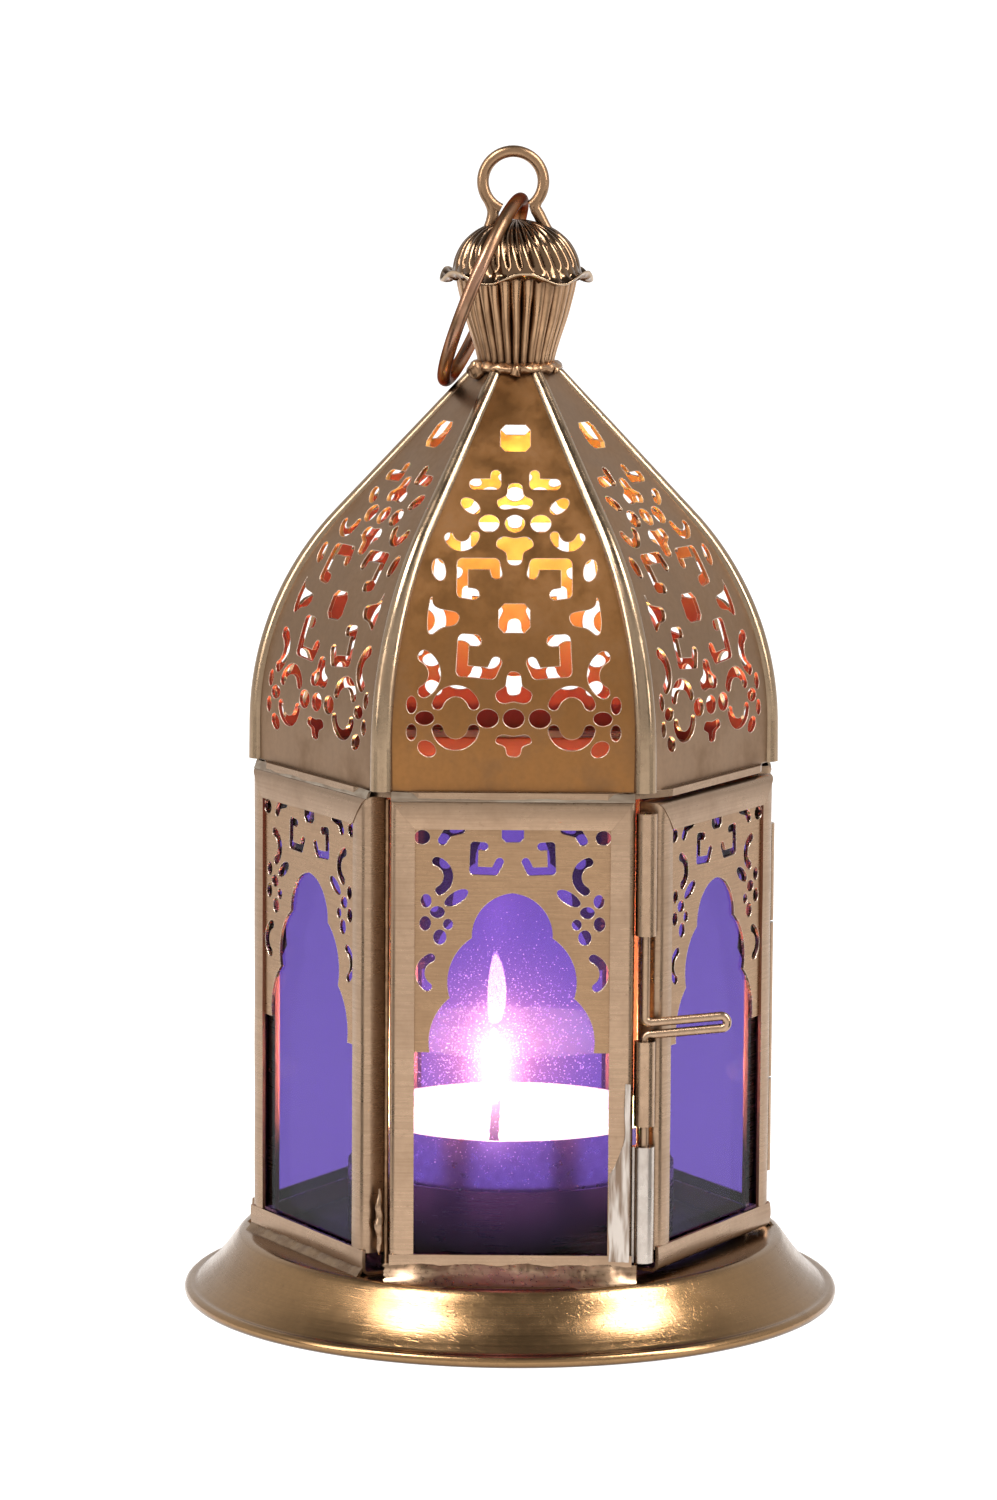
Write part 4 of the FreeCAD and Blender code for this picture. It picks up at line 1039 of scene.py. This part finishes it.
class LANTERN_OT_walls(bpy.types.Operator):
    """Finish the wall frames, frets and panes, and add the solder at their seams."""
    bl_idname = "lantern.walls"
    bl_label = "Finish walls"

    def execute(self, context):
        look = finish()
        for side, angle in SIDE_ANGLES.items():
            # Painted candlelight and shade on the frames' inner faces; the door keeps the lower colour
            upper = look.painted_glow_frame if side == "door" else look.painted_glow_low
            # Painted light: a lighter copy of the wall brass for the front frame
            shade = scaled(look.wall_brass, FRONT_PAINTED_LIGHT) if side == "front" else look.wall_brass
            make_frame(side, brass("brass_frame_" + side, shade, -angle, tarnish=0.3, grime_and_shade_share=0.5,
                                   inner=(look.painted_glow_frame, upper), lift=FRAME_LIFT))
            dress(side + "_fret", brass("brass_fret_" + side, look.fret_brass, -angle,
                                        brush=(250.0, 300.0, 4200.0), tarnish=0.2, line_depth=0.08, grime_and_shade_share=0.3,
                                        pierced=True))
            bend = BACK_BEND if side == "back" else PANE_BEND
            dress(side + "_glass", violet_glass("glass_" + side, side == "front", bend))
        make_wall_seams(solder_grey("foot_solder", look.foot_solder, roughness=0.3,
                                    streak=(70.0, 70.0, 800.0), brown=0.7),
                        # Solder with painted shade: the dark colour stands partly for the shade at the side
                        # walls' feet
                        solder_grey("side_foot_solder", look.side_solder_and_shade, roughness=0.3, brown=0.7),
                        solder_grey("top_solder", look.top_solder, roughness=0.34))
        make_keeper_solder(solder_grey("keeper_solder", look.solder, roughness=0.36,
                                       streak=(900.0, 900.0, 110.0), brown=0.85))
        make_groove_solder(solder_grey("groove_solder", look.wall_brass, roughness=0.3))
        make_corner_beads(solder_grey("corner_solder", look.finial_brass, roughness=0.4))
        return {"FINISHED"}


# How much higher than on the back panel, in millimetres, the painted candlelight on the inner faces turns
# from red to yellow
INNER_LIFT = {"front": 10.0, "right": 14.0, "back_right": 12.0, "back": 0.0, "back_left": 28.0, "left": 14.0}


class LANTERN_OT_roof(bpy.types.Operator):
    """Finish the roof panels, ribs and rim."""
    bl_idname = "lantern.roof"
    bl_label = "Finish roof"

    def execute(self, context):
        look = finish()
        for step, (side, angle) in enumerate(ROOF_ANGLES.items()):
            shade = look.roof_brass if side == "front" else look.side_brass
            # Painted candlelight and shade on the panels' inner faces, red low and yellow high
            dress("roof_panel_" + side, brass("brass_roof_" + side, shade, -angle, brush=(300.0, 300.0, 90.0),
                                              roughness=0.34, tarnish=0.6, line_depth=0.06, pierced=True,
                                              inner=(look.painted_glow_low, look.painted_glow_high), lift=INNER_LIFT[side]))
            dress("roof_rib_" + str(step + 1), brass("brass_rib_" + side, look.rib_brass,
                                                     brush=(900.0, 900.0, 60.0), roughness=0.19, tarnish=0.45,
                                                     grime_and_shade_share=1.0))
        dress("roof_rim", brass("brass_rim", look.wall_brass))
        return {"FINISHED"}


# Base
BASE_OUTLINE = [
    (0.0, 8.2), (33.8, 8.2), (34.4, 8.1), (34.85, 7.8), (35.2, 7.4), (35.85, 6.5), (36.55, 5.5), (37.3, 4.55),
    (38.1, 3.65), (38.95, 2.8), (39.7, 2.15), (40.2, 1.75), (40.45, 1.5), (40.7, 1.42), (41.1, 1.5),
    (41.5, 1.4), (41.8, 1.12), (41.9, 0.75), (41.8, 0.3), (41.5, 0.05), (41.2, 0.0),
    (40.4, 0.0), (40.1, 0.5), (39.3, 1.3), (38.4, 2.1), (37.5, 3.0), (36.7, 3.95), (36.0, 4.9), (35.3, 5.9),
    (34.8, 6.7), (34.3, 7.25), (33.7, 7.4), (0.0, 7.4)]
BASE_STEPS = 240
# Painted light: latch and hinge get a lighter copy of the wall brass
LATCH_PAINTED_LIGHT = 1.12


class LANTERN_OT_base(bpy.types.Operator):
    """Spin the base, and finish the candle ring, the latch and the hinge."""
    bl_idname = "lantern.base"
    bl_label = "Make base"

    def execute(self, context):
        look = finish()
        piece = spun(BASE_OUTLINE, BASE_STEPS)
        close_up(piece, TURNED)
        place_piece(piece, "base_dish_spun", "lantern",
                    brass("brass_base", look.base_brass, round_lines=(2400.0, 2400.0, 1.0), roughness=0.21,
                          tarnish=0.3, line_depth=0.35, darkened_middle=True, scratched=True), ["base_dish"])
        dress("candle_ring", brass("brass_candle_ring", look.base_brass))
        for node in ("latch_keeper", "door_latch_tubes", "latch_bolt", "hinge_pin", "hinge_door_knuckle",
                     "hinge_fixed_knuckles"):
            # Painted light: the latch tubes and hinge are a lighter copy of the wall brass
            shade = look.solder if node == "latch_keeper" else scaled(look.wall_brass, LATCH_PAINTED_LIGHT)
            dress(node, brass("brass_" + node, shade, brush=(500.0, 500.0, 500.0), roughness=0.26,
                              tarnish=0.25, line_depth=0.03))
        return {"FINISHED"}


# Tealight
FLAME_FOOT = 24.7
FLAME_HEIGHT = 9.6
FLAME_WIDTH = 2.5
FLAME_TAPER = (0.62, 0.42)
FLAME_BLUNT = 0.04
FLAME_LEAN = 0.25


def make_flame():
    """A teardrop of light standing on the wick."""
    clear_selection()
    bpy.ops.mesh.primitive_uv_sphere_add(segments=32, ring_count=24, radius=1.0)
    piece = bpy.context.active_object
    for point in piece.data.vertices:
        up = unit((point.co.z + 1) / 2)
        slim = (1 - up) ** FLAME_TAPER[0] * (up + FLAME_BLUNT) ** FLAME_TAPER[1]
        round_about = Vector((point.co.x, point.co.y, 0))
        round_about = round_about.normalized() if round_about.length > 0.001 else Vector()
        lean = FLAME_LEAN * math.sin(up * math.pi)
        foot = Vector((FLAME_X + lean, 0, FLAME_FOOT + up * FLAME_HEIGHT))
        point.co = (foot + round_about * (FLAME_WIDTH * slim)) * MM
    shader = Shader("flame")
    rise = shader.ramp(shader.height(), FLAME_FOOT * MM, (FLAME_FOOT + FLAME_HEIGHT) * MM)
    pale = shader.mix(rise, rgba(finish().flame), rgba(finish().flame_tip))
    shader.set(Base_Color=rgba(BLACK), Roughness=1.0, Emission_Color=pale)
    shader.set(Emission_Strength=finish().flame_strength)
    close_up(piece, ROUND)
    place_piece(piece, "candle_flame", "tealight", shader.material)


WAX_LEVEL = 19.4
WAX_STEPS = 96
# How far from the cup's wall, and how far above its level, the wax is drawn up
MENISCUS = ((3.0, 0.0), (1.6, 0.1), (0.7, 0.4), (0.2, 0.9), (0.0, 1.6))
DRIFT_SCALE = 260.0
DRIFTS = (0.4, 0.7, 0.0, 0.2)
DRIFT_SHINE = (0.3, 0.7, 0.25, 0.4)
WAX_SCATTER = 0.5
SCATTER_DEPTH = 3.0
WAX_LIGHT = 2.0


def make_wax():
    """Wax burnt down below the rim, clear and level, drawn up a little at the cup's wall."""
    low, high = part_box("tealight_wax")
    edge, bottom = high.x / MM, low.z / MM
    outline = [(0.0, WAX_LEVEL), (edge / 2, WAX_LEVEL)]
    outline += [(edge - away, WAX_LEVEL + rise) for away, rise in MENISCUS]
    piece = spun(outline + [(edge, bottom), (0.0, bottom)], WAX_STEPS)
    close_up(piece, TURNED)
    shader = Shader("tealight_wax")
    drifts = shader.noise(shader.place(), scale=DRIFT_SCALE, detail=3.0)
    tone = shader.mix(shader.ramp(drifts, *DRIFTS), rgba(finish().wax), rgba(finish().wax_drift))
    shader.set(Base_Color=tone, Roughness=shader.ramp(drifts, *DRIFT_SHINE))
    shader.set(Subsurface_Weight=WAX_SCATTER, Subsurface_Scale=SCATTER_DEPTH * MM)
    # Painted glow: the wax shines by itself
    shader.set(Emission_Color=rgba(finish().painted_wax_glow), Emission_Strength=WAX_LIGHT)
    place_piece(piece, "tealight_wax_pool", "tealight", shader.material, ["tealight_wax"])


WICK_X = -2.2
WICK_TOP = 26.6
WICK_SUNK = 0.3
WICK_ROWS = 12
WICK_BEND = 0.5
WICK_SWAY = (0.15, 3)
WICK_RADIUS = 0.6
WICK_LUMPS = (0.12, 2.4)
WICK_THINS = 0.25
WICK_ROUGH = (0.06, 0.3)


def make_wick():
    """A charred wick, bent a little by its own burning."""
    points, widths = [], []
    for row in range(WICK_ROWS + 1):
        up = row / WICK_ROWS
        sway = WICK_SWAY[0] * math.sin(WICK_SWAY[1] * up)
        height = WAX_LEVEL - WICK_SUNK + (WICK_TOP - WAX_LEVEL) * up
        points.append(Vector((WICK_X + WICK_BEND * up ** 2, sway, height)) * MM)
        lumps = WICK_LUMPS[0] * math.sin(row * WICK_LUMPS[1])
        widths.append(1.0 + lumps - WICK_THINS * up ** 4)
    piece = wire(points, WICK_RADIUS, widths)
    roughen(piece, *WICK_ROUGH)
    close_up(piece, ROUND)
    place_piece(piece, "charred_wick", "tealight",
                plain_metal("charred_wick", finish().char, roughness=0.8), ["tealight_wick"])


class LANTERN_OT_tealight(bpy.types.Operator):
    """Make the burning tealight."""
    bl_idname = "lantern.tealight"
    bl_label = "Make tealight"

    def execute(self, context):
        dress("tealight_cup", plain_metal("tealight_foil", finish().foil, roughness=0.3))
        make_wax()
        dress("wick_tab", plain_metal("wick_tab", finish().tab, roughness=0.35))
        make_wick()
        make_flame()
        return {"FINISHED"}


# Stage: metres
def make_camera():
    """The photograph's camera, with its small turns about all three axes."""
    data = bpy.data.cameras.new("camera")
    data.sensor_width = SENSOR
    data.sensor_fit = "AUTO"
    data.lens = SENSOR * FOCAL_PIXELS / IMAGE_HEIGHT
    data.clip_start = CAMERA_NEAR
    forward = Vector((math.sin(CAMERA_YAW) * math.cos(CAMERA_PITCH),
                      math.cos(CAMERA_YAW) * math.cos(CAMERA_PITCH), -math.sin(CAMERA_PITCH)))
    right = Vector((math.cos(CAMERA_YAW), -math.sin(CAMERA_YAW), 0))
    up = right.cross(forward)
    turned_right = right * math.cos(CAMERA_ROLL) + up * math.sin(CAMERA_ROLL)
    turned_up = up * math.cos(CAMERA_ROLL) - right * math.sin(CAMERA_ROLL)
    axes = Matrix((turned_right, turned_up, -forward)).transposed()
    camera = bpy.data.objects.new("camera", data)
    camera.matrix_world = Matrix.Translation(CAMERA_PLACE) @ axes.to_4x4()
    bpy.context.scene.collection.objects.link(camera)
    bpy.context.scene.camera = camera


# Direction from the lantern, width and height in metres, and power in watts
SOFTBOXES = {
    "softbox_left": ((-0.45, -0.32, 0.83), (0.30, 0.30), 7.0),
    "softbox_right": ((0.56, -0.22, 0.80), (0.30, 0.30), 7.0),
    "strip_left": ((-0.80, -0.38, 0.42), (0.22, 0.60), 5.0),
    "strip_right": ((0.80, -0.38, 0.42), (0.22, 0.60), 5.0)}


def softbox(name, direction, size, power):
    """A soft rectangular light a metre from the lantern, facing it."""
    data = bpy.data.lights.new(name, "AREA")
    data.shape = "RECTANGLE"
    data.size, data.size_y = size
    data.energy = power
    lamp = bpy.data.objects.new(name, data)
    place = Vector(direction).normalized()
    aim = (-place).to_track_quat("-Z", "Y")
    lamp.matrix_world = Matrix.Translation(place) @ aim.to_matrix().to_4x4()
    bpy.context.scene.collection.objects.link(lamp)


FLOOR_SIZE = 60.0
FLOOR_DROP = 0.02
FLOOR_GREY = (0.3, 0.3, 0.3)
SIDE_SHINE = 0.75
FLOOR_FALLS = (0.14, 0.40, 1.0, SIDE_SHINE)
FLOOR_BEHIND = (0.55, 0.9, SIDE_SHINE, 1.0)
# Keeps a division from meeting zero
TINY = 0.001


def make_floor():
    """A pale glowing table top, whitest behind the lantern."""
    clear_selection()
    bpy.ops.mesh.primitive_plane_add(size=FLOOR_SIZE, location=(0, 0, -FLOOR_DROP * MM))
    floor = bpy.context.active_object
    floor.name = "floor"
    pale = Shader("pale_floor")
    reach = pale.vector("LENGTH", pale.place())
    back = pale.node("SeparateXYZ", {0: pale.place()}).outputs["Y"]
    behind = pale.math("DIVIDE", back, pale.math("MAXIMUM", reach, TINY))
    shine = pale.math("MAXIMUM", pale.ramp(reach, *FLOOR_FALLS), pale.ramp(behind, *FLOOR_BEHIND))
    pale.set(Base_Color=rgba(FLOOR_GREY), Roughness=0.9)
    pale.set(Emission_Color=rgba(WHITE), Emission_Strength=shine)
    floor.data.materials.append(pale.material)


CARD_NEAR = 0.09
CARD_FAR = 0.60
CARD_TURNS = (44.0, 84.0)
CARD_HEIGHT = 0.4 * MM
CARD_GREY = (0.02, 0.02, 0.02)


def make_dark_cards():
    """Dark cards on the floor, seen only in reflections, for the dark bands of folds, ribs and tubes."""
    dark = Shader("dark_card")
    dark.set(Base_Color=rgba(CARD_GREY), Roughness=1.0)
    corners = [(reach, turn) for turn in CARD_TURNS for reach in (CARD_NEAR, CARD_FAR)]
    for name, hand in (("dark_card_left", -1), ("dark_card_right", 1)):
        clear_selection()
        bpy.ops.mesh.primitive_plane_add(size=1.0)
        card = bpy.context.active_object
        card.name = name
        for point, (reach, degrees) in zip(card.data.vertices, corners):
            turn = math.radians(degrees)
            point.co = Vector((hand * reach * math.sin(turn), -reach * math.cos(turn), CARD_HEIGHT))
        card.visible_camera = False
        card.visible_transmission = False
        card.visible_shadow = False
        card.visible_diffuse = False
        card.data.materials.append(dark.material)


SKY_FALLS = (0.55, 0.85, 0.85, 0.14)
SIDE_FRONT = (-0.85, -0.65)
SIDE_BACK = (-0.15, 0.1, 1.0, 0.0)
SIDE_DARK = (0.35, 0.6, 0.65, 0.0)


def make_sky(scene):
    """Studio walls: bright in front and behind, darker at both sides, and dim overhead."""
    sky = Shader("studio", world=True)
    axes = sky.node("SeparateXYZ", {0: sky.node("TexCoord").outputs["Generated"]})
    height = axes.outputs["Z"]
    level = sky.math("SQRT", sky.math("SUBTRACT", 1.0, sky.math("MULTIPLY", height, height)))
    front = sky.math("DIVIDE", axes.outputs["Y"], sky.math("MAXIMUM", level, TINY))
    aside = sky.math("MULTIPLY", sky.ramp(front, *SIDE_FRONT), sky.ramp(front, *SIDE_BACK))
    dark = sky.math("MULTIPLY", aside, sky.ramp(height, *SIDE_DARK))
    shine = sky.math("MULTIPLY", sky.ramp(height, *SKY_FALLS), sky.math("SUBTRACT", 1.0, dark))
    sky.set(Color=rgba(WHITE), Strength=shine)
    scene.world = sky.material


class LANTERN_OT_stage(bpy.types.Operator):
    """Make the pale floor, the studio light and the camera."""
    bl_idname = "lantern.stage"
    bl_label = "Make stage"

    def execute(self, context):
        context.scene.view_settings.view_transform = "Standard"
        make_floor()
        make_dark_cards()
        make_sky(context.scene)
        for name, light in SOFTBOXES.items():
            softbox(name, *light)
        make_camera()
        return {"FINISHED"}


class LANTERN_PT_panel(bpy.types.Panel):
    """Steps and finishes of the lantern."""
    bl_idname = "LANTERN_PT_panel"
    bl_label = "Candle lantern"
    bl_space_type = "VIEW_3D"
    bl_region_type = "UI"
    bl_category = "Lantern"

    def draw(self, context):
        for step in STEPS:
            self.layout.operator(step.bl_idname)
        for name in LanternFinish.__annotations__:
            self.layout.prop(context.scene.lantern_finish, name)


STEPS = (LANTERN_OT_walls, LANTERN_OT_roof, LANTERN_OT_finial, LANTERN_OT_base, LANTERN_OT_tealight,
         LANTERN_OT_stage)
CLASSES = (LanternFinish,) + STEPS + (LANTERN_PT_panel,)


def register():
    for kind in CLASSES:
        bpy.utils.register_class(kind)
    bpy.types.Scene.lantern_finish = bpy.props.PointerProperty(type=LanternFinish)


def unregister():
    del bpy.types.Scene.lantern_finish
    for kind in reversed(CLASSES):
        bpy.utils.unregister_class(kind)


def main():
    """Runs every step."""
    register()
    bpy.ops.lantern.walls()
    bpy.ops.lantern.roof()
    bpy.ops.lantern.finial()
    bpy.ops.lantern.base()
    bpy.ops.lantern.tealight()
    bpy.ops.lantern.stage()


if __name__ == "__main__":
    main()
